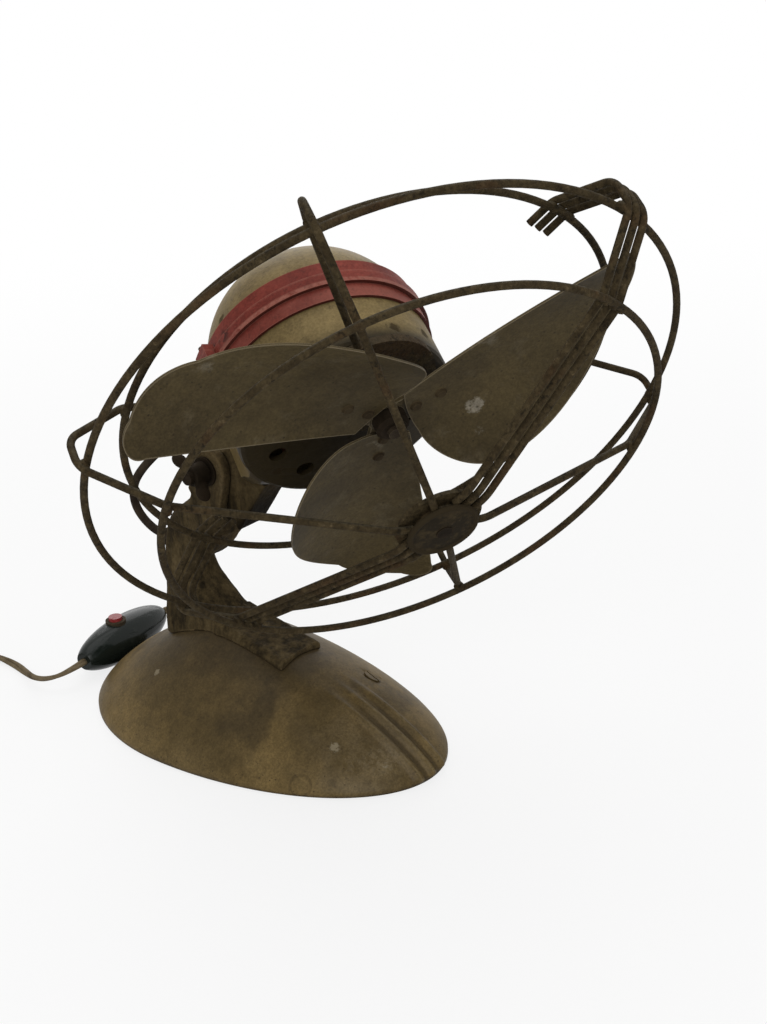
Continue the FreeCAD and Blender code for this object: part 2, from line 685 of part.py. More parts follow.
CHIN_FOOT = SZ.block_half_tall + SZ.moving_gap
chin_body = new_body("Chin", HEAD)
CHIN = [
    # height, front, rear, half width
    (float(CHIN_FOOT), -13.5, 10.3, 12.5),
    (30.0, -25.0, 12.0, 19.0),
    (44.0, -34.5, 13.0, 27.0),
    (58.0, -34.8, 13.0, 33.0),
]
chin_sketches = []
for height, fore, aft, half_width in CHIN:
    sketch = attach(chin_body, "XY_Plane", Placement(Vector(0, 0, height), Rotation()))
    corner = 4.0
    draw_polygon(sketch, [(-half_width, fore + corner), (corner - half_width, fore), (half_width - corner, fore),
                          (half_width, fore + corner), (half_width, aft - corner), (half_width - corner, aft),
                          (corner - half_width, aft), (-half_width, aft - corner)])
    chin_sketches.append(sketch)
chin_loft = chin_body.newObject("PartDesign::AdditiveLoft", "ChinLoft")
chin_loft.Profile = chin_sketches[0]
chin_loft.Sections = chin_sketches[1:]
chin_loft.Ruled = False

band_inner = SZ.drum_radius + SZ.band_gap
band_outer = band_inner + SZ.band_thick
rib_outer = band_outer + SZ.band_rib
rear_way = turned(DRUM, [(SEAM, 0), (SEAM, SZ.drum_radius), (-(SZ.band_fore + 0.3), SZ.drum_radius),
                         (-(SZ.band_fore + 0.3), rib_outer + 0.3), (SZ.band_aft + 0.3, rib_outer + 0.3),
                         (SZ.band_aft + 0.3, SZ.drum_radius + 0.3), (60, SZ.drum_radius + 0.3), (60, 0)])
bush_boss = cylinder(SHAFT, (0, DRUM_FACE + 0.5, 0), Y, SZ.bush_radius + 3.0, 8.0)
vents = []
VENT_FIRST = -172.7
VENT_STEP = 36.0
for k in range(6):
    angle = math.radians(VENT_FIRST + VENT_STEP * k)
    reach = float(SZ.vent_circle)
    vents.append(cylinder(DRUM, (reach * math.cos(angle), DRUM_FACE - 5, reach * math.sin(angle)), Y,
                          SZ.vent_radius, 10))
front_body = cut(fuse(front_outer, chin_body), rear_way)
front_body = fuse(cut(front_body, front_hollow), bush_boss)
front_body = cut(
    front_body,
    cylinder(SHAFT, (0, DRUM_FACE - 1, 0), Y, SZ.shaft_radius + 1.0, 30),
    cylinder(SHAFT, (0, DRUM_FACE + 1.5, 0), Y, SZ.bush_radius, 30),
    cylinder(HEAD, (0, 0, CHIN_FOOT - 2), Z, SZ.swivel_pin + SZ.pin_gap, PIN_TOP - CHIN_FOOT + 2 + 0.5),
    *vents,
)


def half_ellipsoid(frame, start, deep, radius):
    """Half an ellipsoid that bulges along +Y from start."""
    part = doc.addObject("Part::Ellipsoid", "Ellipsoid")
    bind(part, "Radius1", deep)
    bind(part, "Radius2", radius)
    bind(part, "Radius3", radius)
    part.Angle1 = 0
    part.Placement = frame * Placement(vec(0, start, 0), Rotation(Vector(0, 0, 1), Vector(0, 1, 0)))
    return part


dome_y = -SZ.dome_start
seam_rear = SEAM + SZ.seat_gap
inner_radius = SZ.drum_radius - SZ.drum_wall
rear_outer = fuse(half_ellipsoid(DRUM, dome_y, SZ.dome_deep, SZ.drum_radius),
                  cylinder(DRUM, (0, seam_rear, 0), Y, SZ.drum_radius, SZ.drum_seam - SZ.seat_gap - SZ.dome_start))
rear_inner = fuse(half_ellipsoid(DRUM, dome_y, SZ.dome_deep - SZ.drum_wall, inner_radius),
                  cylinder(DRUM, (0, seam_rear - 1, 0), Y, inner_radius, SZ.drum_seam - SZ.seat_gap - SZ.dome_start + 1))
REAR_BUSH = 24.0
rear_boss = common(rear_outer, cylinder(SHAFT, (0, REAR_BUSH, 0), Y, SZ.bush_radius + 3.0, 40))
LEAD_BACK = 22.8
back_round = SZ.drum_radius.value * math.sqrt(1 - (LEAD_BACK / SZ.dome_deep.value) ** 2)
lead_seat = Vector(0, LEAD_BACK - SZ.dome_start.value, -back_round)
lead_way = Vector(0, LEAD_BACK / SZ.dome_deep.value ** 2, -back_round / SZ.drum_radius.value ** 2).normalize()
rear_body = cut(
    fuse(cut(rear_outer, rear_inner), rear_boss),
    cylinder(SHAFT, (0, REAR_BUSH - 1, 0), Y, SZ.bush_radius, 9.0),
    cylinder(DRUM, lead_seat - lead_way * 8, lead_way, 3.6, 16),
)
node(rear_body, "motor_rear")

back_bushing = fuse(cylinder(DRUM, lead_seat - lead_way * 4, lead_way, 3.5, 4.8),
                    cylinder(DRUM, lead_seat + lead_way * 0.8, lead_way, 4.6, 1.4))
node(cut(back_bushing, cylinder(DRUM, lead_seat - lead_way * 8, lead_way, SZ.lead_radius + 0.05, 20)),
     "motor_bushing")

band_long = SZ.band_fore + SZ.band_aft
band_rib_wide = 6.0
LUG_ANGLES = (184.0, 8.0)
lugs = []
lug_holes = []
lug_screws = []
for angle in LUG_ANGLES:
    side = frame_at(DRUM, spin=Rotation(Vector(0, 1, 0), -angle))
    out = float(rib_outer)
    lugs.append(box(side, (out + 1.4, -2.0, 0), (5.0, 12.0, 9.0)))
    lug_holes.append(cylinder(side, (out + 1.9, -20, 0), Y, 1.5, 40))
    lug_screws.append(cylinder(side, (out + 1.9, -8.0 - 1.8, 0), Y, 2.0 + 0.8, 1.8))
    lug_screws.append(cylinder(side, (out + 1.9, -8.1, 0), Y, 1.48, 14.0))
band = cut(
    fuse(cylinder(DRUM, (0, -SZ.band_fore, 0), Y, band_outer, band_long),
         cylinder(DRUM, (0, -(band_rib_wide / 2 + 2.0), 0), Y, rib_outer, band_rib_wide), *lugs),
    cylinder(DRUM, (0, -20, 0), Y, band_inner, 40),
    *lug_holes,
)
node(band, "centre_band")
node(fuse(*lug_screws), "band_screws")

node(tube(SHAFT, (0, DRUM_FACE + 1.6, 0), Y, SZ.bush_radius - 0.02, SZ.shaft_radius + SZ.pin_gap, 6.9), "front_bush")
node(tube(SHAFT, (0, REAR_BUSH + 0.1, 0), Y, SZ.bush_radius - 0.02, SZ.shaft_radius + SZ.pin_gap, 7.7), "rear_bush")

STACK_Y = -23.0
STACK_LONG = 16.0
stack_mid = STACK_Y + STACK_LONG / 2
stator = cut(
    box(SHAFT, (0, stack_mid, -17.0), (44.0, STACK_LONG, 66.0)),
    cylinder(SHAFT, (0, STACK_Y - 1, 0), Y, SZ.core_radius + 0.5, STACK_LONG + 2),
    box(SHAFT, (0, stack_mid, -28.0), (26.0, STACK_LONG + 2, 18.0)),
)
drum_room = cylinder(DRUM, (0, STACK_Y - 2, 0), Y, inner_radius - 0.1, STACK_LONG + 4)
node(common(stator, drum_room), "stator_core")
COIL_Z = -43.5
node(cut(box(SHAFT, (0, stack_mid, COIL_Z), (25.0, STACK_LONG + 12, 25.0)),
         box(SHAFT, (0, stack_mid, COIL_Z), (40.0, STACK_LONG + 0.2, 13.2))), "stator_coil")


# ---------------------------------------------------------------- guard

mount_screw_radius = 1.5
MOUNT_SCREW_RING = 20.0
mount_face = DRUM_FACE - SZ.mount_thick
mount_holes = []
mount_screws = []
for angle in (30, 150, 270):
    across = MOUNT_SCREW_RING * math.cos(math.radians(angle))
    up = MOUNT_SCREW_RING * math.sin(math.radians(angle))
    mount_holes.append(cylinder(SHAFT, (across, mount_face - 5, up), Y, mount_screw_radius, SZ.mount_thick + 5 + 2.3))
    mount_screws.append(cylinder(SHAFT, (across, mount_face - 1.5, up), Y, 2.9, 1.5))
    mount_screws.append(cylinder(SHAFT, (across, mount_face - 1.0, up), Y, mount_screw_radius - 0.02,
                                 SZ.mount_thick + 3.1))
node(cut(front_body, *mount_holes), "motor_front")
guard_mount = cut(cylinder(SHAFT, (0, mount_face, 0), Y, SZ.mount_radius, SZ.mount_thick - 0.01),
                  cylinder(SHAFT, (0, mount_face - 1, 0), Y, SZ.mount_radius - 14.0, SZ.mount_thick + 2),
                  *mount_holes)
node(guard_mount, "guard_mount")
node(fuse(*mount_screws), "guard_mount_screws")

GUARD = frame_at(SHAFT, spin=Rotation(Vector(0, 1, 0), -float(SZ.guard_turn)))


def ring(name, radius, ahead):
    part = doc.addObject("Part::Torus", "Torus")
    bind(part, "Radius1", radius)
    bind(part, "Radius2", SZ.wire_radius)
    part.Placement = GUARD * Placement(vec(0, -ahead, 0), Rotation(Vector(0, 0, 1), Vector(0, 1, 0)))
    return node(part, name)


ring("guard_ring_front", SZ.front_ring, SZ.front_ahead)
ring("guard_ring_middle", SZ.middle_ring, SZ.middle_ahead)
ring("guard_ring_rear", SZ.rear_ring, SZ.rear_ahead)

ARM_START = 12.0
ARM_FLAT = 19.5
SHOULDER_AHEAD = 48.5
TRIPLE_TAIL = 12.0
ARM_END_GAP = 0.2
ARM_FACE_GAP = 0.9
BENDS = {"flat": 20.0, "front": 14.0, "middle": 10.0, "shoulder": 7.0, "rear": 9.0}


def seat_bend(centre, corner, before, after, bend, side=1):
    """The next guess at a corner whose rounded bend touches a ring's wire.

    The bend lies outside the ring for side 1 and inside it for side -1.
    """
    to_before = (before - corner).normalize()
    to_after = (after - corner).normalize()
    outward = (to_before + to_after) * -1
    outward.normalize()
    turn = math.pi - to_before.getAngle(to_after)
    lift = side * (2 * float(SZ.wire_radius) + float(SZ.weld_gap)) + bend * (1 / math.cos(turn / 2) - 1)
    return centre + outward * lift


def arm_corners():
    """Corners of an arm as (distance from the shaft, along Y).

    The arm runs inside the front ring and outside the other two.
    """
    start = vec(ARM_START, -SZ.badge_ahead, 0)
    flat = vec(ARM_FLAT, -SZ.badge_ahead, 0)
    rings = [vec(SZ.front_ring, -SZ.front_ahead, 0), vec(SZ.middle_ring, -SZ.middle_ahead, 0),
             vec(SZ.rear_ring, -SZ.rear_ahead, 0)]
    front, middle, rear = rings
    end = vec(SZ.mount_radius + ARM_END_GAP, DRUM_FACE - SZ.wire_radius - ARM_FACE_GAP, 0)
    for _ in range(40):
        shoulder = vec(middle.x, -SHOULDER_AHEAD, 0)
        front = seat_bend(rings[0], front, flat, middle, BENDS["front"], side=-1)
        middle = seat_bend(rings[1], middle, front, shoulder, BENDS["middle"])
        shoulder = vec(middle.x, -SHOULDER_AHEAD, 0)
        rear = seat_bend(rings[2], rear, shoulder, end, BENDS["rear"])
    return [start, flat, front, middle, shoulder, rear, end]


ARM = arm_corners()
ARM_BENDS = [BENDS["flat"], BENDS["front"], BENDS["middle"], BENDS["shoulder"], BENDS["rear"]]
tail_way = (ARM[-1] - ARM[-2]).normalize()
TRIPLE = ARM[:-1] + [ARM[-2] + tail_way * TRIPLE_TAIL]


def arm_wire(corners, angle, aside=0.0):
    """An arm in the plane through the shaft at angle, moved aside from that plane."""
    turn = math.radians(angle)
    out = Vector(math.cos(turn), 0, math.sin(turn))
    side = Vector(-math.sin(turn), 0, math.cos(turn))
    points = [GUARD.multVec(out * c.x + side * aside + Vector(0, c.y, 0)) for c in corners]
    wire, _ = rounded_path(points, bends=ARM_BENDS)
    return sweep("Arm", wire, SZ.wire_radius)


for name, angle in (("guard_arm_left", 180), ("guard_arm_right", 0), ("guard_arm_top", 120), ("guard_arm_bottom", -60)):
    node(arm_wire(ARM, angle), name)
for name, angle in (("guard_triple_high", 60), ("guard_triple_low", -120)):
    wires = [arm_wire(TRIPLE, angle, float(SZ.triple_pitch) * k) for k in (-1, 0, 1)]
    group = doc.addObject("Part::Compound", "Triple")
    group.Links = wires
    node(group, name)

half_wire = SZ.wire_radius + SZ.weld_gap
plate_front = -SZ.badge_ahead + half_wire
disc_rear = -SZ.badge_ahead - half_wire
RIVET = 1.8
badge_back = cut(fuse(cylinder(GUARD, (0, plate_front, 0), Y, SZ.badge_plate, SZ.badge_thick),
                      cylinder(GUARD, (0, disc_rear + 0.01, 0), Y, ARM_START - 1.5, half_wire * 2)),
                 cylinder(GUARD, (0, disc_rear - 5, 0), Y, RIVET + 0.02, 20))
node(badge_back, "badge_plate")
node(cut(cylinder(GUARD, (0, disc_rear - SZ.badge_thick, 0), Y, SZ.badge_radius, SZ.badge_thick),
         cylinder(GUARD, (0, disc_rear - 5, 0), Y, RIVET + 0.02, 20)), "badge_disc")
rivet_start = disc_rear - SZ.badge_thick - 0.9
rivet_end = plate_front + SZ.badge_thick + 0.9
node(fuse(cylinder(GUARD, (0, rivet_start, 0), Y, RIVET, rivet_end - rivet_start),
          cylinder(GUARD, (0, rivet_start, 0), Y, RIVET + 1.4, 0.88),
          cylinder(GUARD, (0, rivet_end - 0.88, 0), Y, RIVET + 1.4, 0.88)), "badge_rivet")


# ---------------------------------------------------------------- rotor

BLADE_Y = -SZ.hub_ahead
node(cylinder(SHAFT, (0, BLADE_Y - 8.0, 0), Y, SZ.shaft_radius, SZ.hub_ahead + 8.0 + 31.5), "rotor_shaft")
node(tube(SHAFT, (0, STACK_Y - 1.0, 0), Y, SZ.core_radius, SZ.shaft_radius + 0.02, STACK_LONG + 2.0), "rotor_core")
SET_SCREW = 1.9
SCREW_ANGLE = -105.0
HUB_FORE = 6.0
HUB_LONG = 15.0
screw_frame = frame_at(SHAFT, spin=Rotation(Vector(0, 1, 0), SCREW_ANGLE))
screw_y = BLADE_Y - HUB_FORE + HUB_LONG - 3.2
hub = cut(
    fuse(cylinder(SHAFT, (0, BLADE_Y - HUB_FORE + 1.5, 0), Y, SZ.hub_radius, HUB_LONG - 1.5),
         cone(SHAFT, (0, BLADE_Y - HUB_FORE, 0), Y, SZ.hub_radius - 1.5, SZ.hub_radius, 1.5)),
    cylinder(SHAFT, (0, BLADE_Y - 20, 0), Y, SZ.shaft_radius + 0.02, 40),
    cylinder(screw_frame, (0, screw_y, 0), X, SET_SCREW + 0.02, 12),
)
node(hub, "hub")
node(cylinder(screw_frame, (SZ.shaft_radius + 0.05, screw_y, 0), X, SET_SCREW, 5.2), "hub_screw")

half_sheet = SZ.blade_thick / 2
arm_front = half_sheet + 0.02
ARM_THICK = 2.0
ARM_WIDE = 13.0
ARM_REACH = 29.0
BLADE_OUTLINE = [
    # arcs around the blade as start and middle: (along the arm, across the arm)
    ((10.0, 11.0), (50.0, 24.0)),
    ((98.0, 37.0), (106.0, 37.0)),
    ((110.0, 27.0), (109.0, 10.0)),
    ((99.0, -4.0), (66.0, -34.0)),
    ((34.0, -41.0), (15.0, -33.0)),
    ((8.0, -14.0), (7.8, -2.0)),
]


def blade_frame(angle):
    spin = Rotation(Vector(0, 1, 0), -angle) * Rotation(Vector(1, 0, 0), float(SZ.blade_pitch))
    return frame_at(SHAFT, 0, BLADE_Y, 0, spin)


def blade(frame):
    """A paddle cut from a cupped sheet, with two rivet holes."""
    body = new_body("Paddle", frame)
    sketch = attach(body, "XZ_Plane")
    count = len(BLADE_OUTLINE)
    for k in range(count):
        start, middle = BLADE_OUTLINE[k]
        end = BLADE_OUTLINE[(k + 1) % count][0]
        sketch.addGeometry(Part.Arc(vec(*start, 0), vec(*middle, 0), vec(*end, 0)))
    pad = body.newObject("PartDesign::Pad", "Pad")
    pad.Profile = sketch
    pad.SideType = "Symmetric"
    pad.Length = 60
    cup = tube(frame, (0, -SZ.blade_cup, 0), X, SZ.blade_cup + half_sheet, SZ.blade_cup - half_sheet, 130)
    holes = [cylinder(frame, (reach, -5, 0), Y, SZ.rivet_radius + 0.02, 10)
             for reach in (SZ.rivet_inner, SZ.rivet_outer)]
    return cut(common(cup, body), *holes)


spider_parts = [cylinder(SHAFT, (0, BLADE_Y + arm_front, 0), Y, SZ.hub_radius + 1.2, ARM_THICK)]
spider_holes = [cylinder(SHAFT, (0, BLADE_Y - 20, 0), Y, SZ.hub_radius + 0.02, 40)]
rivets = []
for k in range(3):
    frame = blade_frame(float(SZ.blade_turn) + 120 * k)
    node(blade(frame), "blade_%d" % (k + 1))
    middle = (4.0 + ARM_REACH) / 2
    spider_parts.append(box(frame, (middle, arm_front + ARM_THICK / 2, 0), (ARM_REACH - 4.0, ARM_THICK, ARM_WIDE)))
    for reach in (SZ.rivet_inner, SZ.rivet_outer):
        spider_holes.append(cylinder(frame, (reach, -5, 0), Y, SZ.rivet_radius + 0.02, 12))
        tail = arm_front + ARM_THICK + 0.02
        rivets.append(cylinder(frame, (reach, -(half_sheet + 1.0), 0), Y, SZ.rivet_radius, tail + half_sheet + 1.9))
        rivets.append(cone(frame, (reach, -(half_sheet + 1.1), 0), Y, 1.8, 2.7, 1.02))
        rivets.append(cylinder(frame, (reach, tail, 0), Y, 2.5, 0.9))
node(cut(fuse(*spider_parts), *spider_holes), "spider")
rivet_group = fuse(*rivets)
node(rivet_group, "blade_rivets")


# ---------------------------------------------------------------- leads and cord

LEAD_OUT = 9.0
lead_points = [
    DRUM.multVec(lead_seat - lead_way * 3),
    DRUM.multVec(lead_seat + lead_way * LEAD_OUT),
    (8.0, 2.0, 157.0),
    (0.0, 19.0, 146.0),
    (-7.0, 33.0, 132.0),
    (-9.0, 44.5, 121.5),
    (-9.3, 52.5, 111.5),
    (-7.5, 55.5, 100.0),
    (-4.8, 52.0, 90.5),
    (-3.0, 43.5, 85.0),
    (-3.0, 33.5, 85.0),
]
node(cord_tube("motor_lead", lead_points, SZ.lead_radius), "motor_lead")

grommet_seat = vec(*GROMMET_AT)
grommet_way = vec(*GROMMET_WAY)
node(cut(cylinder(STAND, grommet_seat - grommet_way * 6, GROMMET_WAY, GROMMET_RADIUS, 8.5),
         cylinder(STAND, grommet_seat - grommet_way * 8, GROMMET_WAY, SZ.cord_radius + 0.05, 20)), "cord_grommet")

SWITCH = frame_at(STAND, SZ.switch_x, SZ.switch_y + SZ.switch_radius, SZ.switch_radius + 0.1,
                  Rotation(Vector(0, 0, 1), float(SZ.switch_turn)))


def long_ellipsoid(long_radius, radius):
    part = doc.addObject("Part::Ellipsoid", "Ellipsoid")
    bind(part, "Radius1", long_radius)
    bind(part, "Radius2", radius)
    bind(part, "Radius3", radius)
    part.Placement = SWITCH * Placement(Vector(), Rotation(Vector(0, 0, 1), Vector(1, 0, 0)))
    return part


end_cut = SZ.switch_half_long
hull_out = long_ellipsoid(end_cut + 3.0, SZ.switch_radius)
hull_in = long_ellipsoid(end_cut - 1.2, SZ.switch_radius - SZ.switch_wall)
BUTTON_X = -4.0
cord_bore = cylinder(SWITCH, (-50, 0, 0), X, SZ.cord_radius + 0.05, 100)
for name, low in (("switch_lower", -30.05), ("switch_upper", 0.05)):
    half_space = box(SWITCH, (0, 0, low + 15), (end_cut * 2, 60, 30))
    tools = [hull_in, cord_bore]
    if name == "switch_upper":
        tools.append(cylinder(SWITCH, (BUTTON_X, 0, 2), Z, SZ.collar_radius + 0.02, 20))
    node(cut(common(hull_out, half_space), *tools), name)
COLLAR_LOW = SZ.switch_radius - 1.7
node(tube(SWITCH, (BUTTON_X, 0, COLLAR_LOW), Z, SZ.collar_radius, SZ.button_radius + 0.08, 2.4), "switch_collar")
BUTTON_LONG = 7.0
node(cylinder(SWITCH, (BUTTON_X, 0, SZ.switch_radius + 2.6 - BUTTON_LONG), Z, SZ.button_radius, BUTTON_LONG),
     "switch_button")

inner_points = [
    grommet_seat - grommet_way * 4,
    grommet_seat + grommet_way * 8,
    (57.3, 70.2, 6.8),
    (59.8, 81.9, 4.6),
    (54.2, 92.5, 6.8),
    SWITCH.multVec(vec(end_cut + 8.5, 0, 0)),
    SWITCH.multVec(vec(end_cut - 2.0, 0, 0)),
]
node(cord_tube("cord_inner", inner_points, SZ.cord_radius), "cord_inner")
COIL_AT = (-66.0, 184.0)
coil_z = SZ.coil_bundle + 0.7
outer_points = [
    SWITCH.multVec(vec(2.0 - end_cut, 0, 0)),
    SWITCH.multVec(vec(-(end_cut + 7.5), 0, 0)),
    (-42.0, 89.8, 9.6),
    (-46.0, 97.3, 7.2),
    (-45.3, 107.5, 4.9),
    (-41.8, 118.5, 3.1),
    (-38.6, 130.5, 2.2),
    (-37.6, 143.5, 2.2),
    (-38.9, 157.0, 2.3),
    (-39.8, 170.0, 3.0),
]
node(cord_tube("cord_outer", outer_points, SZ.cord_radius), "cord_outer")


def torus(frame, round_radius, bundle, reach=360.0):
    part = doc.addObject("Part::Torus", "Torus")
    bind(part, "Radius1", round_radius)
    bind(part, "Radius2", bundle)
    part.Angle3 = reach
    part.Placement = frame
    return part


COIL = frame_at(STAND, *COIL_AT, coil_z)
node(torus(COIL, SZ.coil_radius, SZ.coil_bundle), "cord_coil")
TIE_REACH = 20.0
TIE = frame_at(COIL, spin=Rotation(Vector(0, 0, 1), 200))
node(cut(torus(TIE, SZ.coil_radius, SZ.coil_bundle + 0.6, TIE_REACH),
         torus(COIL, SZ.coil_radius, SZ.coil_bundle + 0.04)), "cord_tie")
plug_z_axis = SZ.plug_round + 0.1
tail_y = COIL_AT[1] + float(SZ.coil_radius)
PLUG_X = COIL_AT[0] - 26.0
tail_points = [
    (COIL_AT[0] - 1.0, tail_y, coil_z),
    (COIL_AT[0] - 10.0, tail_y, coil_z + 2.5),
    (COIL_AT[0] - 19.0, tail_y, plug_z_axis),
    (PLUG_X - 2.0, tail_y, plug_z_axis),
]
node(cord_tube("plug_tail", tail_points, SZ.cord_radius), "plug_tail")
PLUG = frame_at(STAND, PLUG_X, tail_y, plug_z_axis)
plug_neck = 12.0
plug_body = cut(
    fuse(cone(PLUG, (0, 0, 0), BACK_X, 5.0, SZ.plug_round, plug_neck),
         cylinder(PLUG, (-plug_neck, 0, 0), BACK_X, SZ.plug_round, SZ.plug_long - plug_neck)),
    cylinder(PLUG, (1, 0, 0), BACK_X, SZ.cord_radius + 0.05, 6.0),
    *[cylinder(PLUG, (-(SZ.plug_long - 6), SZ.pin_spacing / 2 * side, 0), BACK_X, SZ.plug_pin, 10)
      for side in (-1, 1)],
)
node(plug_body, "plug_body")
node(fuse(*[cylinder(PLUG, (-(SZ.plug_long - 6), SZ.pin_spacing / 2 * side, 0), BACK_X,
                     SZ.plug_pin - 0.02, SZ.plug_pin_long + 6) for side in (-1, 1)]), "plug_pins")


# ---------------------------------------------------------------- checks and export

doc.recompute()
for thing in doc.Objects:
    if "Invalid" in thing.State or "Error" in thing.State:
        raise RuntimeError("%s failed: %s" % (thing.Label, thing.State))
labels = [thing.Label for thing in nodes]
if len(set(labels)) != len(labels):
    raise RuntimeError("two pieces share a name")
os.makedirs("parts", exist_ok=True)
for thing in nodes:
    shape = thing.Shape
    if shape.isNull() or not shape.isValid() or not shape.Solids:
        raise RuntimeError("%s has no valid solid" % thing.Label)
    shape.exportStep("parts/%s.step" % thing.Label)
print(len(nodes), "pieces")
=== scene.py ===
# %% [markdown]
# # A small desk fan
# The fan's solid parts come ready made and in place. This lesson gives them their
# finishes: worn bronze enamel, aged cream and red enamel, rusty wire and glossy
# plastic. It also makes what solids leave plain: the ribbed base, the rough castings,
# the mains flex with its coil, the soft lead behind the neck, the welds, the wing nut,
# the badge and the plug. Places are in metres, or in millimetres where MM scales them.

# %% Load the frame and keep its size
import math

import bmesh
import bpy
from mathutils import Matrix, Vector, noise


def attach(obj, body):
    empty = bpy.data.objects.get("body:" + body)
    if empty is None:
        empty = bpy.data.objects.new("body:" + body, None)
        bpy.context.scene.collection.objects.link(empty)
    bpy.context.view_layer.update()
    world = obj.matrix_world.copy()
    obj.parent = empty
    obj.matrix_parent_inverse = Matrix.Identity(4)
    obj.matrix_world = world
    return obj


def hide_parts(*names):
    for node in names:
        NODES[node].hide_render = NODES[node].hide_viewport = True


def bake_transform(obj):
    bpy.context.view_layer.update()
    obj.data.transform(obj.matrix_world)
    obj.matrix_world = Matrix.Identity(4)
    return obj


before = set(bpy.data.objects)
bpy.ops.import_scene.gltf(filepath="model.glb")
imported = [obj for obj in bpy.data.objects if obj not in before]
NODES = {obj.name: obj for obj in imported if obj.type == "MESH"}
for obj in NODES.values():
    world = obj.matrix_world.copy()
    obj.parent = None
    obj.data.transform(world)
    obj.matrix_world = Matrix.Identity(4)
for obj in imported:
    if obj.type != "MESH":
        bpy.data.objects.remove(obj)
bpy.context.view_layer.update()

MM = 0.001

# %% [markdown]
# ## The camera
# A camera is placed by three directions: right, up and back. It stands to the left of
# the nose, higher than the motor, and looks down at the guard.

# %% Camera
CAMERA_AT = (-0.4540, -0.4835, 0.3665)
CAMERA_RIGHT = (0.6293, -0.7754, -0.0534)
CAMERA_BACK = (-0.7071, -0.5997, 0.3746)
camera_data = bpy.data.cameras.new("camera")
camera_data.sensor_fit = "HORIZONTAL"
camera_data.sensor_width = 36.0
camera_data.lens = 70.4
camera_data.clip_start = 0.01
camera = bpy.data.objects.new("camera", camera_data)
bpy.context.scene.collection.objects.link(camera)
right = Vector(CAMERA_RIGHT).normalized()
back = Vector(CAMERA_BACK).normalized()
up = back.cross(right).normalized()
right = up.cross(back)
turn = Matrix((right, up, back)).transposed().to_4x4()
camera.matrix_world = Matrix.Translation(CAMERA_AT) @ turn
bpy.context.scene.camera = camera
print("camera looks along", [round(-c, 3) for c in back])

# %% [markdown]
# ## Light
# The light is soft and even, as under a wide sky with one large lamp on each side, so
# colours render about as they are written. What the camera sees behind the fan is white,
# and so is what shiny metal mirrors, which Light Path can tell apart from lighting.

# %% Light and world


def area_lamp(name, place, aim, size, power):
    data = bpy.data.lights.new(name, "AREA")
    data.energy = power
    data.size = size
    lamp = bpy.data.objects.new(name, data)
    lamp.location = place
    lamp.rotation_euler = (Vector(aim) - Vector(place)).to_track_quat("-Z", "Y").to_euler()
    bpy.context.scene.collection.objects.link(lamp)


AIM = (0.0, -0.06, 0.12)
SKY_LIGHT, SKY_SEEN = 0.36, 1.0
area_lamp("key", (-1.15, -1.0, 1.05), AIM, 1.2, 16)
area_lamp("top", (0.1, 0.1, 1.6), AIM, 1.4, 7)
area_lamp("rim", (1.1, 0.9, 0.8), AIM, 1.2, 7)

world = bpy.data.worlds.new("studio")
bpy.context.scene.world = world
world.use_nodes = True
tree = world.node_tree
sky = tree.nodes["Background"]
sky.inputs["Color"].default_value = (1.0, 1.0, 1.0, 1.0)
rays = tree.nodes.new("ShaderNodeLightPath")
seen = tree.nodes.new("ShaderNodeMath")
seen.operation = "MAXIMUM"
mirrored = tree.nodes.new("ShaderNodeMath")
mirrored.operation = "MAXIMUM"
strength = tree.nodes.new("ShaderNodeMapRange")
strength.inputs["To Min"].default_value = SKY_LIGHT
strength.inputs["To Max"].default_value = SKY_SEEN
tree.links.new(rays.outputs["Is Glossy Ray"], mirrored.inputs[0])
tree.links.new(rays.outputs["Is Transmission Ray"], mirrored.inputs[1])
tree.links.new(rays.outputs["Is Camera Ray"], seen.inputs[0])
tree.links.new(mirrored.outputs[0], seen.inputs[1])
tree.links.new(seen.outputs[0], strength.inputs["Value"])
tree.links.new(strength.outputs[0], sky.inputs["Strength"])
bpy.context.scene.view_settings.view_transform = "Standard"
print("three lamps, and a sky that gives", SKY_LIGHT, "of the light it shows")

# %% [markdown]
# ## Writing shader maths as Python
# A material is a graph of nodes. Wrapping a socket in a small class lets plain Python
# expressions such as `1 - mask * 0.5` build that graph, one Math node for each sign.

# %% Sockets that take arithmetic


class Link:
    """A node's output socket that can be added, multiplied and compared."""

    def __init__(self, finish, socket):
        self.finish = finish
        self.socket = socket

    def maths(self, operation, first, second):
        return self.finish.node("ShaderNodeMath", {"operation": operation}, {0: first, 1: second})

    def __add__(self, other):
        return self.maths("ADD", self, other)

    def __sub__(self, other):
        return self.maths("SUBTRACT", self, other)

    def __mul__(self, other):
        return self.maths("MULTIPLY", self, other)

    def __rsub__(self, other):
        return self.maths("SUBTRACT", other, self)

    __radd__ = __add__
    __rmul__ = __mul__

    def over(self, low, high):
        """0 where this is below low, 1 above high, smooth between."""
        names = {"Value": self, "From Min": low, "From Max": high}
        return self.finish.node("ShaderNodeMapRange", {"interpolation_type": "SMOOTHSTEP"}, names)


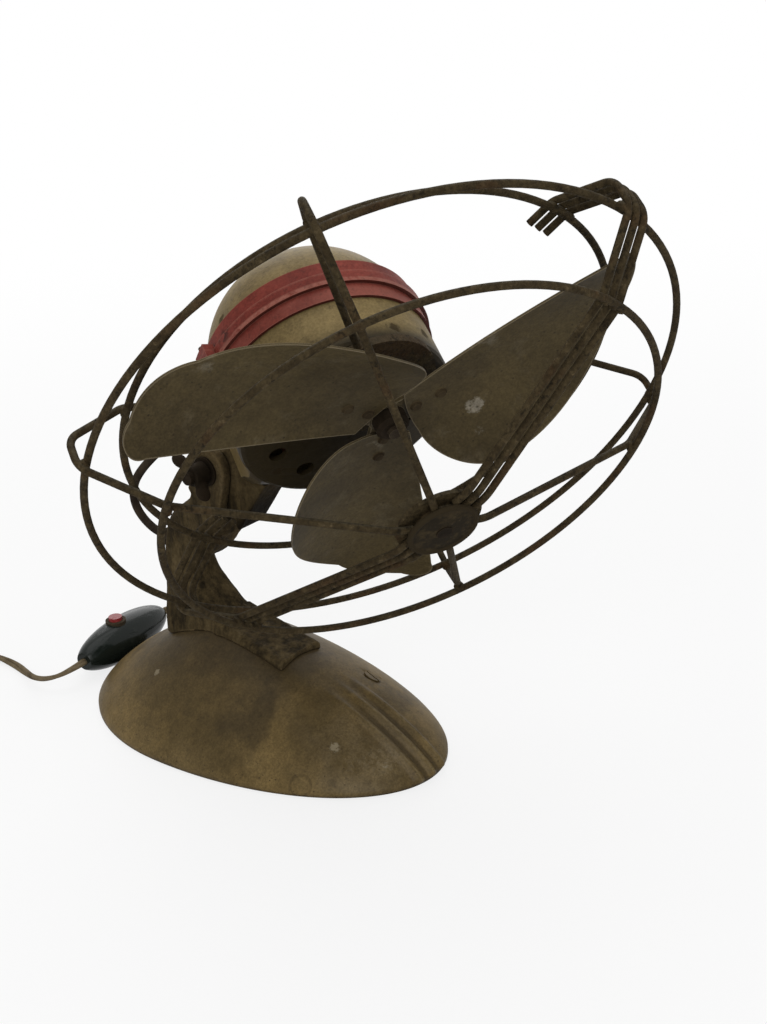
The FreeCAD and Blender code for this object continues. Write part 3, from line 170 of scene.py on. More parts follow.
class Finish:
    """A material with one Principled shader, built from expressions."""

    def __init__(self, name):
        self.material = bpy.data.materials.new(name)
        self.material.use_nodes = True
        self.tree = self.material.node_tree
        self.shader = self.tree.nodes["Principled BSDF"]
        self.place = self.node("ShaderNodeTexCoord", {}, {}, "Object")

    def node(self, kind, settings, inputs, output=0):
        """Adds any node: its settings first, then the values or links of its sockets."""
        made = self.tree.nodes.new(kind)
        for key, value in settings.items():
            setattr(made, key, value)
        for key, value in inputs.items():
            self.feed(made.inputs[key], value)
        return Link(self, made.outputs[output])

    def feed(self, socket, value):
        if isinstance(value, Link):
            self.tree.links.new(value.socket, socket)
        elif socket.type == "RGBA" and len(value) == 3:
            socket.default_value = (*value, 1.0)
        else:
            socket.default_value = value

    def noise(self, scale, detail=4.0, rough=0.55, place=None):
        inputs = {"Vector": place or self.place, "Scale": scale, "Detail": detail, "Roughness": rough}
        return self.node("ShaderNodeTexNoise", {}, inputs)

    def cells(self, scale):
        """Distance to the nearest of many scattered points."""
        return self.node("ShaderNodeTexVoronoi", {}, {"Vector": self.place, "Scale": scale})

    def stretch(self, amounts):
        """The place, scaled along each axis, which draws out a pattern where it is below 1."""
        return self.node("ShaderNodeMapping", {}, {"Vector": self.place, "Scale": amounts})

    def mix(self, first, second, factor):
        """Goes from the first colour to the second as factor rises from 0 to 1."""
        return self.node("ShaderNodeMix", {"data_type": "RGBA"}, {0: factor, 6: first, 7: second}, 2)

    def split(self, axis):
        return self.node("ShaderNodeSeparateXYZ", {}, {0: self.place}, axis)

    def vector_maths(self, operation, first, second):
        """A Vector Math node whose result is a number."""
        return self.node("ShaderNodeVectorMath", {"operation": operation}, {0: first, 1: second}, "Value")

    def facing(self, way):
        """How far the surface faces a direction: 1 towards it, -1 away from it."""
        return self.vector_maths("DOT_PRODUCT", self.node("ShaderNodeTexCoord", {}, {}, "Normal"), way)

    def along(self, way):
        """How far a place lies along a direction."""
        return self.vector_maths("DOT_PRODUCT", self.place, way)

    def gap(self, place):
        """Distance from a place that is given in millimetres."""
        return self.vector_maths("DISTANCE", self.place, [c * MM for c in place])

    def near(self, place, inside, outside):
        """1 within a distance of a place in millimetres, fading to 0 further out."""
        return 1 - self.gap(place).over(inside * MM, outside * MM)

    def spots(self, rows):
        """Adds up soft round spots: place, full within, gone outside (all in millimetres) and strength."""
        total = 0.0
        for place, inside, outside, share in rows:
            total = self.near(place, inside, outside) * share + total
        return total

    def line(self, value, middle, width):
        """1 where a value in metres is close to a middle, both given in millimetres."""
        off = value - middle * MM
        return 1 - off.maths("ABSOLUTE", off, 0.0).over(width * MM * 0.3, width * MM)

    def mottle(self, colour, *patches):
        """Makes a colour darker and paler in patches, each given by its scale and strength."""
        shade = 1.0
        for scale, amount in patches:
            patch = self.noise(scale, 5.0, 0.65).over(0.34, 0.66)
            shade = (patch * (2 * amount) + (1 - amount)) * shade
        return self.node("ShaderNodeVectorMath", {"operation": "SCALE"}, {0: colour, "Scale": shade})

    def edges(self, width):
        """1 along sharp edges, where a small rounding would change the normal."""
        flat = self.node("ShaderNodeNewGeometry", {}, {}, "Normal")
        soft = self.node("ShaderNodeBevel", {"samples": 6}, {"Radius": width})
        return (1 - self.vector_maths("DOT_PRODUCT", flat, soft)).over(0.004, 0.12)

    def crevices(self, reach):
        """1 in corners and under ledges, 0 on open surfaces."""
        return 1 - self.node("ShaderNodeAmbientOcclusion", {"samples": 6}, {"Distance": reach}, "AO")

    def bump(self, height, distance, strength=1.0):
        inputs = {"Height": height, "Distance": distance, "Strength": strength}
        self.feed(self.shader.inputs["Normal"], self.node("ShaderNodeBump", {}, inputs, "Normal"))

    def put(self, **sockets):
        """Sets the shader's sockets, with a space for each underscore."""
        for key, value in sockets.items():
            self.feed(self.shader.inputs[key.replace("_", " ")], value)


def dress(finish, *names):
    """Gives solid parts a finish."""
    for name in names:
        mesh = NODES[name].data
        mesh.materials.clear()
        mesh.materials.append(finish.material)


# %% [markdown]
# ## Worn bronze enamel
# The base was sprayed with a bronze enamel that has gone cloudy. It is warm and polished
# low down, where hands touch it, and darker towards the neck, from dirt and painted shade.
# It has dark specks, a few chips to a pale undercoat, and grime with painted shade in each
# corner. Noise of several sizes makes the clouds and specks, and the height above the floor
# steers them.

# %% Bronze enamel for the base
DULL = 0.035  # how little old enamel mirrors
GRIME_AND_SHADE = (0.010, 0.008, 0.005)
PIT = (0.014, 0.010, 0.006)
RIB_PITCH = 8.0
RIBS_REACH = 15.0
SHADOWED = [((-36.0, -38.0, 28.0), 4.0, 26.0, 1.0), ((-12.0, -42.0, 39.0), 6.0, 24.0, 0.7)]
BARE_NOSE = (-16.0, -94.0, 18.0)
SCUFFED = [((-14.7, -103.5, 12.3), 1.0, 12.0, 1.0), ((-25.0, -96.0, 13.0), 1.0, 11.0, 0.6)]
CHIPPED = [((-25.9, -84.0, 18.0), 1.0, 5.2, 1.0), ((-35.2, 20.8, 29.2), 0.6, 4.0, 1.0),
           ((-16.4, -104.7, 11.0), 0.6, 4.4, 0.8), ((-52.2, -24.1, 14.7), 0.5, 4.0, 0.6)]
MOULD_MARK = (-44.6, -78.5, 5.5)
MARK_RADIUS, MARK_LINE = 4.9, 0.75

base_enamel = Finish("bronze_enamel")
clouds = base_enamel.noise(13.0, 5.0, 0.6)
blotches = base_enamel.noise(34.0, 6.0, 0.65)
grain = base_enamel.noise(420.0, 4.0, 0.65)
height = base_enamel.split("Z")
colour = base_enamel.mix((0.074, 0.051, 0.020), (0.150, 0.102, 0.039), clouds.over(0.38, 0.60))
colour = base_enamel.mix(colour, (0.046, 0.032, 0.014), blotches.over(0.50, 0.66) * 0.62)
# dirt and painted shade: darker towards the top, near the neck
dirt_and_shade_above = height.over(0.022, 0.046) * (0.50 + clouds * 0.4)
colour = base_enamel.mix(colour, (0.034, 0.024, 0.012), dirt_and_shade_above)
polished = (1 - height.over(0.006, 0.020)) * blotches.over(0.42, 0.6)
colour = base_enamel.mix(colour, (0.176, 0.124, 0.052), polished * 0.40)
shadowed = base_enamel.spots(SHADOWED) * blotches.over(0.34, 0.6)
colour = base_enamel.mix(colour, (0.036, 0.026, 0.013), shadowed * 0.6)
bare_nose = base_enamel.near(BARE_NOSE, 8.0, 34.0) * blotches.over(0.34, 0.62)
colour = base_enamel.mix(colour, (0.150, 0.113, 0.062), bare_nose * 0.55)
scuffed = base_enamel.spots(SCUFFED) * grain.over(0.44, 0.62)
colour = base_enamel.mix(colour, (0.185, 0.145, 0.085), scuffed * 0.5)
colour = base_enamel.mottle(colour, (60.0, 0.06), (260.0, 0.10), (950.0, 0.16))

# darker grooves between the ribs, from dirt and painted shade, and a painted highlight on their crests
across = base_enamel.split("X")
ripple = across.maths("COSINE", across * (2 * math.pi / (RIB_PITCH * MM)), 0.0)
ribbed = (1 - base_enamel.split("Y").over(-0.094, -0.070)) * base_enamel.line(across, 0.0, RIBS_REACH)
colour = base_enamel.mix(colour, (0.030, 0.021, 0.010), (0 - ripple).over(0.1, 0.9) * ribbed * 0.6)
crest_highlight = ripple.over(0.72, 1.0) * ribbed * grain.over(0.40, 0.56)
colour = base_enamel.mix(colour, (0.190, 0.145, 0.075), crest_highlight * 0.5)

colour = base_enamel.mix(colour, (0.024, 0.016, 0.008), grain.over(0.56, 0.74) * 0.5)
pits = (1 - base_enamel.cells(300.0).over(0.05, 0.13)) * (1 - height.over(0.004, 0.020) * 0.6)
colour = base_enamel.mix(colour, PIT, pits * 0.7)
ragged = base_enamel.noise(700.0, 4.0, 0.7)
chips = (base_enamel.spots(CHIPPED) * ragged * 2.0).over(0.62, 0.95)
colour = base_enamel.mix(colour, (0.24, 0.20, 0.13), chips * 0.75)
colour = base_enamel.mix(colour, (0.165, 0.118, 0.052), base_enamel.edges(0.0006) * 0.55)
mark = base_enamel.line(base_enamel.gap(MOULD_MARK), MARK_RADIUS, MARK_LINE)
# darker in corners and under ledges: dirt and painted shade
grime_and_shade = base_enamel.crevices(0.006)
colour = base_enamel.mix(colour, (0.016, 0.011, 0.006), grime_and_shade.over(0.2, 0.75) * 0.8 + mark * 0.22)
base_enamel.put(Base_Color=colour, Roughness=0.36 + clouds * 0.22 + grain * 0.08 + grime_and_shade * 0.2,
                Coat_Weight=0.08 - chips * 0.08, Specular_IOR_Level=DULL * 1.5, Coat_Roughness=0.28)
waves = blotches * 0.5 + base_enamel.noise(120.0, 3.0) * 0.25
base_enamel.bump(waves + grain * 0.16 - chips * 0.5 - pits * 0.3 - mark * 0.5, 0.0010, 0.6)
dress(base_enamel, "base_shell", "nose_plug")
print("bronze enamel with", len(CHIPPED), "chips")

# %% [markdown]
# ## The rusty neck
# On the neck the same enamel has blistered into streaks that run down it, and only the
# top has kept its tan. The streaks are noise that is stretched along the height. The
# underside of the hinge block is painted nearly black, as shade.

# %% Flaking enamel for the neck and the hinge block
# painted shade on the side of the hinge block that faces down and forward, away from the light
SHADED_SIDE = (0.0, -0.746, -0.665)
SHADE_STARTS, SHADE_FULL = -0.0590, -0.0560  # metres along that direction


def flaking(name, tan, brown, dark, tan_from, tan_to, shaded):
    """Streaky enamel that is tan above a height, with painted shade on its underside if it is shaded."""
    paint = Finish(name)
    streaks = paint.noise(130.0, 6.0, 0.7, paint.stretch((1.0, 1.0, 0.22)))
    clouds = paint.noise(38.0, 5.0, 0.6)
    grain = paint.noise(600.0, 4.0, 0.7)
    height = paint.split("Z") + (clouds - 0.5) * 0.03
    colour = paint.mix(dark, brown, streaks.over(0.36, 0.60))
    kept = height.over(tan_from, tan_to) * (0.35 + clouds.over(0.35, 0.6) * 0.65)
    colour = paint.mix(colour, tan, kept)
    # paler on the raised streaks: a painted highlight
    colour = paint.mix(colour, (0.112, 0.084, 0.044), streaks.over(0.56, 0.70) * 0.55)
    colour = paint.mottle(colour, (85.0, 0.10), (420.0, 0.20))
    colour = paint.mix(colour, [c * 0.35 for c in dark], grain.over(0.54, 0.74) * 0.6)
    # pale edges: wear with a painted highlight
    colour = paint.mix(colour, (0.190, 0.135, 0.068), paint.edges(0.0018) * 0.6)
    # dirt and painted shade in corners and under ledges
    colour = paint.mix(colour, GRIME_AND_SHADE, paint.crevices(0.010).over(0.15, 0.8) * 0.8)
    # painted shade: the underside is painted nearly black
    if shaded:
        painted_shade = paint.along(SHADED_SIDE).over(SHADE_STARTS, SHADE_FULL)
        colour = paint.mix(colour, (0.007, 0.005, 0.003), painted_shade * 0.95)
    paint.put(Base_Color=colour, Roughness=0.60 + grain * 0.2 + streaks * 0.1, Specular_IOR_Level=DULL)
    paint.bump(streaks + clouds * 0.4 + grain * 0.25, 0.0018, 0.85)
    return paint


neck_enamel = flaking("neck_enamel", tan=(0.088, 0.063, 0.031), brown=(0.074, 0.053, 0.025),
                      dark=(0.023, 0.017, 0.009), tan_from=0.105, tan_to=0.135, shaded=False)
hinge_enamel = flaking("hinge_enamel", tan=(0.080, 0.057, 0.027), brown=(0.058, 0.041, 0.018),
                       dark=(0.018, 0.013, 0.007), tan_from=0.112, tan_to=0.134, shaded=True)
dress(neck_enamel, "neck")
dress(hinge_enamel, "hinge_block")
print("streaky enamel on the neck, sooty below the hinge")

# %% [markdown]
# ## Cream and red enamel
# The motor is sprayed cream, now yellowed and blotted with oil. Its front face, which
# looks down at the table, and its lip are painted nearly black, from dirt and painted shade.
# Faces that look down are painted darker as shade, and the closed inside is painted black
# as shade. The band is dull red, and its ribs are rubbed pale, with painted highlights on
# their crests.

# %% Cream and red enamel
FACE_WAY = (-0.3814, -0.7424, -0.5508)  # the way the motor faces
LUG_BLOT = (-44.7, -57.1, 209.7)
# painted highlights with wear along the band's rib crests
RIB_HIGHLIGHT, REAR_HIGHLIGHT = (8.0, 1.6), (12.6, 0.8)  # distance behind the band's front, half width


def front_of(name):
    """How far a solid part reaches along the way the motor faces."""
    return max(Vector(FACE_WAY).dot(v.co) for v in NODES[name].data.vertices)


BAND_FRONT, MOTOR_FRONT = front_of("centre_band"), front_of("motor_front")


def aged_enamel(name, clean, tired_and_shade, stain_and_shade, dirt_and_shade_front, pale, blots, is_band):
    """Enamel that is darker below as painted shade, dark on the motor's face and lip from dirt and painted
    shade, and blotted; the band is rubbed, with painted highlights on its crests.
    """
    paint = Finish(name)
    clouds = paint.noise(20.0, 5.0, 0.6)
    grain = paint.noise(320.0, 5.0, 0.65)
    colour = paint.mix(tired_and_shade, clean, clouds.over(0.36, 0.60))
    # painted shade: faces that look down take the darker tone
    top_light = paint.facing((0.0, 0.0, 1.0)).over(-0.2, 0.7)
    colour = paint.mix(colour, tired_and_shade, (1 - top_light) * 0.6)
    colour = paint.mottle(colour, (75.0, 0.04), (300.0, 0.08), (950.0, 0.15))
    # dirt and painted shade on faces towards the table and on the motor's lip
    front = paint.facing(FACE_WAY).over(0.10, 0.70)
    if is_band:
        behind = BAND_FRONT - paint.along(FACE_WAY)
        rubbed = (1 - behind.over(0.004, 0.0075)) * clouds.over(0.30, 0.55) * 0.4
        # pale crest lines: wear and a painted highlight
        band_highlight = paint.line(behind, *RIB_HIGHLIGHT) + paint.line(behind, *REAR_HIGHLIGHT) * 0.3
        colour = paint.mix(colour, pale, rubbed + band_highlight * grain.over(0.28, 0.60) * 0.8)
        colour = paint.mix(colour, stain_and_shade, paint.near(LUG_BLOT, 1.5, 6.5) * grain.over(0.38, 0.54) * 0.85)
    else:
        lip = 1 - (MOTOR_FRONT - paint.along(FACE_WAY)).over(0.002, 0.013)
        front = front.maths("MAXIMUM", front, lip)
    colour = paint.mix(colour, dirt_and_shade_front, front * (0.74 + clouds * 0.25))
    blot = (1 - (paint.cells(52.0) + (grain - 0.5) * 0.30).over(0.075, 0.17)) * blots
    colour = paint.mix(colour, stain_and_shade, blot * 0.8)
    colour = paint.mix(colour, stain_and_shade, grain.over(0.54, 0.74) * 0.5)
    colour = paint.mix(colour, pale, paint.edges(0.0007) * (1 - front) * 0.5)
    # dirt and painted shade in corners; the closed inside of the motor and its vents are painted nearly
    # black as shade
    colour = paint.mix(colour, [c * 0.4 for c in stain_and_shade], paint.crevices(0.008).over(0.2, 0.8) * 0.85)
    inside = paint.crevices(0.030).over(0.66, 0.86)
    colour = paint.mix(colour, (0.004, 0.003, 0.002), inside * 0.95)
    paint.put(Base_Color=colour, Roughness=0.42 + clouds * 0.2 + blot * 0.2, Coat_Roughness=0.32,
              Coat_Weight=0.06 - blot * 0.06, Specular_IOR_Level=DULL * 1.6)
    paint.bump(grain * 0.25 + paint.noise(80.0, 4.0) * 0.5 - blot * 0.3, 0.0009, 0.6)
    return paint


cream_enamel = aged_enamel("cream_enamel", clean=(0.212, 0.155, 0.066), tired_and_shade=(0.126, 0.090, 0.037),
                           stain_and_shade=(0.028, 0.019, 0.009), dirt_and_shade_front=(0.009, 0.007, 0.0045),
                           pale=(0.26, 0.20, 0.11), blots=1.0, is_band=False)
red_enamel = aged_enamel("red_enamel", clean=(0.200, 0.042, 0.030), tired_and_shade=(0.126, 0.023, 0.016),
                         stain_and_shade=(0.028, 0.009, 0.006), dirt_and_shade_front=(0.10, 0.026, 0.018),
                         pale=(0.30, 0.118, 0.086), blots=0.25, is_band=True)
dress(cream_enamel, "motor_front", "motor_rear")
dress(red_enamel, "centre_band")
print("cream shells and a red band")

# %% [markdown]
# ## Rusty wire
# The guard was plated steel wire. The plating has gone, so the wire is grey brown with
# crusts of tan rust and dark scale, and a little paler on top, from dust and a painted highlight.

# %% Rusty wire
wire_rust = Finish("rusty_wire")
crust = wire_rust.noise(150.0, 6.0, 0.72)
scale = wire_rust.noise(320.0, 5.0, 0.7)
grain = wire_rust.noise(1000.0, 3.0, 0.7)
colour = wire_rust.mix((0.031, 0.022, 0.011), (0.052, 0.038, 0.019), crust.over(0.36, 0.6))
tan_rust = scale.over(0.54, 0.70) * crust.over(0.42, 0.6)
colour = wire_rust.mix(colour, (0.115, 0.085, 0.046), tan_rust * 0.7)
red_rust = wire_rust.noise(46.0, 4.0).over(0.54, 0.68)
colour = wire_rust.mix(colour, (0.060, 0.028, 0.012), red_rust * 0.32)
# paler on top: dust and a painted highlight
dusty = wire_rust.facing((0.0, 0.0, 1.0)).over(0.55, 0.98)
colour = wire_rust.mix(colour, (0.085, 0.076, 0.055), dusty * 0.35)
colour = wire_rust.mottle(colour, (620.0, 0.22))
colour = wire_rust.mix(colour, GRIME_AND_SHADE, (1 - scale.over(0.34, 0.47)) * 0.75)
wire_rust.put(Base_Color=colour, Roughness=0.58 + scale * 0.28, Metallic=0.10, Specular_IOR_Level=DULL * 1.5)
wire_rust.bump(crust * 0.8 + scale * 0.8 + grain * 0.3, 0.0014, 0.95)
dress(wire_rust, "guard_ring_front", "guard_ring_middle", "guard_ring_rear", "guard_arm_left",
      "guard_arm_right", "guard_arm_top", "guard_arm_bottom", "guard_triple_high", "guard_triple_low",
      "guard_mount", "badge_plate")
print("rust on the guard")

# %% [markdown]
# ## The blades
# The sheet blades are enamelled brown, dusty and speckled, with the paint gone from their
# edges and a pale scuff on one of them, where something has rubbed.

# %% Blade enamel
BLADE_SCUFF = [((9.1, -142.1, 178.6), 2.0, 8.0, 1.0), ((13.0, -141.3, 166.7), 1.0, 7.0, 0.7)]
blade_enamel = Finish("blade_enamel")
clouds = blade_enamel.noise(16.0, 5.0, 0.6)
brushed = blade_enamel.noise(90.0, 5.0, 0.65)
grain = blade_enamel.noise(520.0, 4.0, 0.65)
colour = blade_enamel.mix((0.040, 0.029, 0.013), (0.068, 0.050, 0.022), clouds.over(0.34, 0.66))
colour = blade_enamel.mix(colour, (0.092, 0.074, 0.045), brushed.over(0.54, 0.70) * 0.35)
ragged = blade_enamel.noise(420.0, 5.0, 0.75)
scuff = (blade_enamel.spots(BLADE_SCUFF) * ragged * 1.9).over(0.62, 1.0)
dust = (1 - blade_enamel.cells(30.0).over(0.10, 0.26)) * brushed.over(0.50, 0.62)
colour = blade_enamel.mix(colour, (0.22, 0.195, 0.15), scuff * 0.75 + dust * 0.28)
colour = blade_enamel.mottle(colour, (70.0, 0.05), (280.0, 0.08), (950.0, 0.17))
specks = 1 - blade_enamel.cells(230.0).over(0.07, 0.15)
colour = blade_enamel.mix(colour, PIT, specks * 0.6)
colour = blade_enamel.mix(colour, (0.022, 0.016, 0.009), grain.over(0.55, 0.74) * 0.45)
colour = blade_enamel.mix(colour, (0.19, 0.155, 0.10), blade_enamel.edges(0.0009) * 0.7)
# dirt and painted shade in corners, as dark rings round the rivets
colour = blade_enamel.mix(colour, GRIME_AND_SHADE, blade_enamel.crevices(0.0035).over(0.25, 0.8) * 0.85)
blade_enamel.put(Base_Color=colour, Roughness=0.46 + clouds * 0.16 + grain * 0.12, Coat_Weight=0.05,
                 Specular_IOR_Level=DULL * 1.8, Coat_Roughness=0.35)
blade_enamel.bump(grain * 0.2 + brushed * 0.35 + blade_enamel.noise(55.0, 4.0) * 0.45, 0.0009, 0.5)
dress(blade_enamel, "blade_1", "blade_2", "blade_3", "spider")
print("dusty enamel on three blades")

# %% [markdown]
# ## Bare and blackened steel, bronze and copper
# Bolts, washers and the hub have tarnished nearly black. The shaft and the screws are
# cleaner. The bearings are bronze, and the coil inside the motor is varnished copper.

# %% Metals


def metal(name, clean, tarnish, metallic, rough, spread=60.0):
    """Metal with clouds of tarnish of a given spread, and brighter edges."""
    skin = Finish(name)
    cloud = skin.noise(spread, 5.0, 0.65)
    grain = skin.noise(900.0, 3.0, 0.6)
    colour = skin.mix(clean, tarnish, cloud.over(0.36, 0.64))
    colour = skin.mix(colour, [min(1.0, c * 2.4) for c in clean], skin.edges(0.0004) * 0.5)
    skin.put(Base_Color=colour, Metallic=metallic - cloud.over(0.4, 0.7) * metallic * 0.5,
             Roughness=rough + cloud * 0.2 + grain * 0.1, Specular_IOR_Level=DULL * 1.5)
    skin.bump(cloud * 0.4 + grain * 0.4, 0.0005, 0.6)
    return skin


black_steel = metal("black_steel", (0.022, 0.015, 0.009), (0.010, 0.007, 0.004), 0.05, 0.62)
rivet_steel = metal("rivet_steel", (0.046, 0.033, 0.017), (0.022, 0.015, 0.008), 0.05, 0.6)
bare_steel = metal("bare_steel", (0.050, 0.038, 0.024), (0.024, 0.017, 0.011), 0.15, 0.58)
bronze = metal("bearing_bronze", (0.30, 0.19, 0.08), (0.14, 0.08, 0.035), 0.8, 0.35)
copper = metal("varnished_copper", (0.32, 0.12, 0.05), (0.15, 0.05, 0.02), 0.7, 0.3, 400.0)
core_iron = metal("core_iron", (0.060, 0.058, 0.055), (0.03, 0.025, 0.02), 0.5, 0.5, 200.0)
brass = metal("pin_brass", (0.50, 0.35, 0.13), (0.26, 0.17, 0.07), 0.85, 0.28)
dress(black_steel, "tilt_bolt", "tilt_washer", "nut_washer", "wing_nut", "guard_mount_screws",
      "hub", "hub_screw", "badge_rivet")
dress(rivet_steel, "blade_rivets")
dress(bare_steel, "base_screws", "neck_bolts", "swivel_pin", "band_screws", "rotor_shaft",
      "switch_collar")
dress(bronze, "front_bush", "rear_bush")
dress(copper, "stator_coil")
dress(core_iron, "stator_core", "rotor_core", "base_bottom_plate")
dress(brass, "plug_pins")
print("seven metals")

# %% [markdown]
# ## Plastic, rubber, felt and flex
# The cord switch is glossy near-black plastic with a red button. The lead and grommets
# are perished rubber. The mains flex is twin, in a tan jacket that has darkened.

# %% Plastic, rubber, felt and flex


def gloss(name, colour, dusty, rough):
    """Polished plastic with dust and fine scratches."""
    skin = Finish(name)
    dust = skin.noise(120.0, 5.0, 0.7)
    scratch = skin.noise(35.0, 6.0, 0.7, skin.stretch((1.0, 14.0, 3.0))).over(0.56, 0.64)
    skin.put(Base_Color=skin.mix(colour, dusty, dust.over(0.5, 0.75) * 0.5),
             Roughness=rough + dust * 0.18 + scratch * 0.15, Specular_IOR_Level=DULL * 3,
             Coat_Weight=0.16 - scratch * 0.1, Coat_Roughness=0.12)
    skin.bump(dust * 0.4 - scratch * 0.2, 0.0004, 0.5)
    return skin


def soft(name, colour, pale, rough, scale):
    """Rubber or cloth with clouds of a given scale and a fine grain."""
    skin = Finish(name)
    cloud = skin.noise(scale, 5.0, 0.65)
    grain = skin.noise(scale * 9.0, 4.0, 0.7)
    skin.put(Base_Color=skin.mix(colour, pale, cloud.over(0.38, 0.66)),
             Roughness=rough + grain * 0.15, Specular_IOR_Level=DULL)
    skin.bump(cloud * 0.4 + grain * 0.6, 0.0006, 0.7)
    return skin


switch_plastic = gloss("switch_plastic", (0.008, 0.011, 0.009), (0.030, 0.034, 0.028), 0.12)
button_plastic = gloss("button_plastic", (0.23, 0.022, 0.024), (0.30, 0.10, 0.09), 0.18)
plug_plastic = gloss("plug_plastic", (0.020, 0.015, 0.012), (0.06, 0.05, 0.04), 0.16)
rubber = soft("perished_rubber", (0.020, 0.015, 0.011), (0.045, 0.033, 0.022), 0.66, 90.0)
flex_jacket = soft("flex_jacket", (0.170, 0.132, 0.080), (0.082, 0.060, 0.034), 0.56, 75.0)
felt_cloth = soft("felt_cloth", (0.035, 0.030, 0.024), (0.070, 0.062, 0.050), 0.85, 240.0)
dress(switch_plastic, "switch_lower", "switch_upper")
dress(button_plastic, "switch_button")
dress(plug_plastic, "plug_body")
dress(rubber, "neck_bushing", "motor_bushing", "cord_grommet")
dress(flex_jacket, "cord_tie")
dress(felt_cloth, "base_felt")
print("plastic switch, button and plug; rubber, flex and felt")

# %% [markdown]
# ## The floor
# A wide pale floor catches the fan's soft shadow. It is part of the set, not of the fan.
# The camera sees it mostly as plain light, so the shadow stays faint, and further out it
# fades into the white behind.

# %% Floor
FLOOR_HALF, LIT_SHARE = 6.0, 0.78
floor_mesh = bpy.data.meshes.new("floor")
shape = bmesh.new()
bmesh.ops.create_grid(shape, x_segments=1, y_segments=1, size=FLOOR_HALF)
shape.to_mesh(floor_mesh)
shape.free()
floor = bpy.data.objects.new("floor", floor_mesh)
bpy.context.scene.collection.objects.link(floor)
floor_paint = Finish("floor")
floor_paint.put(Base_Color=(0.86, 0.86, 0.86), Roughness=0.7)
lit = floor_paint.node("ShaderNodeEmission", {}, {"Color": (1.0, 1.0, 1.0), "Strength": 1.0})
seen = floor_paint.node("ShaderNodeLightPath", {}, {}, "Is Camera Ray")
for ray in ("Is Glossy Ray", "Is Transmission Ray"):
    seen = seen.maths("MAXIMUM", seen, floor_paint.node("ShaderNodeLightPath", {}, {}, ray))
far = floor_paint.vector_maths("LENGTH", floor_paint.place, (0.0, 0.0, 0.0)).over(0.25, 1.2)
painted = Link(floor_paint, floor_paint.shader.outputs[0])
share = seen * (LIT_SHARE + far * (1 - LIT_SHARE))
blend = floor_paint.node("ShaderNodeMixShader", {}, {0: share, 1: painted, 2: lit})
floor_paint.feed(floor_paint.tree.nodes["Material Output"].inputs["Surface"], blend)
floor_mesh.materials.append(floor_paint.material)
print("floor", 2 * FLOOR_HALF, "metres wide")

# %% [markdown]
# ## The base casting
# The base is one hollow casting: a long dome with three soft ribs that run down its nose.
# Its half outline is spun into a round dome first. The front and rear halves are then
# stretched by different amounts, and the ribs are raised by moving the vertices outwards,
# so that they fade in without an edge. The skin sinks a little under the nose plug.

# %% Base with soft ribs


def finish_piece(name, shape):
    """Turns a bmesh into a smooth object at the origin."""
    mesh = bpy.data.meshes.new(name)
    shape.to_mesh(mesh)
    shape.free()
    for face in mesh.polygons:
        face.use_smooth = True
    piece = bpy.data.objects.new(name, mesh)
    bpy.context.scene.collection.objects.link(piece)
    return piece


def spun(name, profile, frame_of, axis, steps, crease):
    """Spins a profile of (radius, distance along the axis) in millimetres about an axis of a frame.

    Edges that are sharper than the crease angle stay sharp.
    """
    shape = bmesh.new()
    verts = [shape.verts.new(Vector((r, 0.0, 0.0)) + Vector(axis) * y) for r, y in profile]
    edges = [shape.edges.new(pair) for pair in zip(verts, verts[1:])]
    bmesh.ops.spin(shape, geom=verts + edges, cent=(0, 0, 0), axis=axis, dvec=(0, 0, 0),
                   angle=2 * math.pi, steps=steps, use_merge=True, use_duplicate=False)
    bmesh.ops.remove_doubles(shape, verts=shape.verts, dist=1e-4)
    bmesh.ops.recalc_face_normals(shape, faces=shape.faces)
    bmesh.ops.transform(shape, matrix=Matrix.Scale(MM, 4) @ frame_of, verts=shape.verts)
    piece = finish_piece(name, shape)
    piece.data.set_sharp_from_angle(angle=math.radians(crease))
    return piece


def ease(value, low, high):
    """0 below low, 1 above high, smooth between, for low > high too."""
    share = min(1.0, max(0.0, (value - low) / (high - low)))
    return share * share * (3 - 2 * share)


HALF_WIDTH, NOSE, TAIL, CROWN, RIM = 61.6, 118.5, 82.8, 48.3, 2.8
FLANGE, UNDERSIDE = 3.0, 3.0  # width of the flat rim below, height of the ceiling behind it
SQUARENESS = 2 / 1.3
OUTLINE_STEPS = 48
RIB_RISE, RIB_HALF, VALLEY = 2.1, 3.4, 0.25
PLUG_EDGE, PLUG_FLAT, PLUG_SEAT = 5.1, 4.4, 0.8


def arch(distance, reach):
    """1 in the middle, 0 at the reach and beyond, along a cosine."""
    return math.cos(min(1.0, abs(distance) / reach) * math.pi / 2)


outline = [(0.0, RIM + CROWN)]
for k in range(1, OUTLINE_STEPS + 1):
    angle = math.pi / 2 * (1 - k / OUTLINE_STEPS)
    outline.append((HALF_WIDTH * math.cos(angle) ** SQUARENESS, RIM + CROWN * math.sin(angle) ** SQUARENESS))
outline += [(HALF_WIDTH, 1.0), (HALF_WIDTH - 0.4, 0.62), (HALF_WIDTH - FLANGE, 0.62),
            (HALF_WIDTH - FLANGE, UNDERSIDE), (0.0, UNDERSIDE)]
casting = spun("base_casting", outline, Matrix.Identity(4), (0, 0, 1), 360, 50)
plug_corners = [v.co for v in NODES["nose_plug"].data.vertices]
plug_middle = sum(plug_corners, Vector()) / len(plug_corners)
shape = bmesh.new()
shape.from_mesh(casting.data)
for v in shape.verts:
    v.co.y *= (NOSE if v.co.y < 0 else TAIL) / HALF_WIDTH
shape.normal_update()
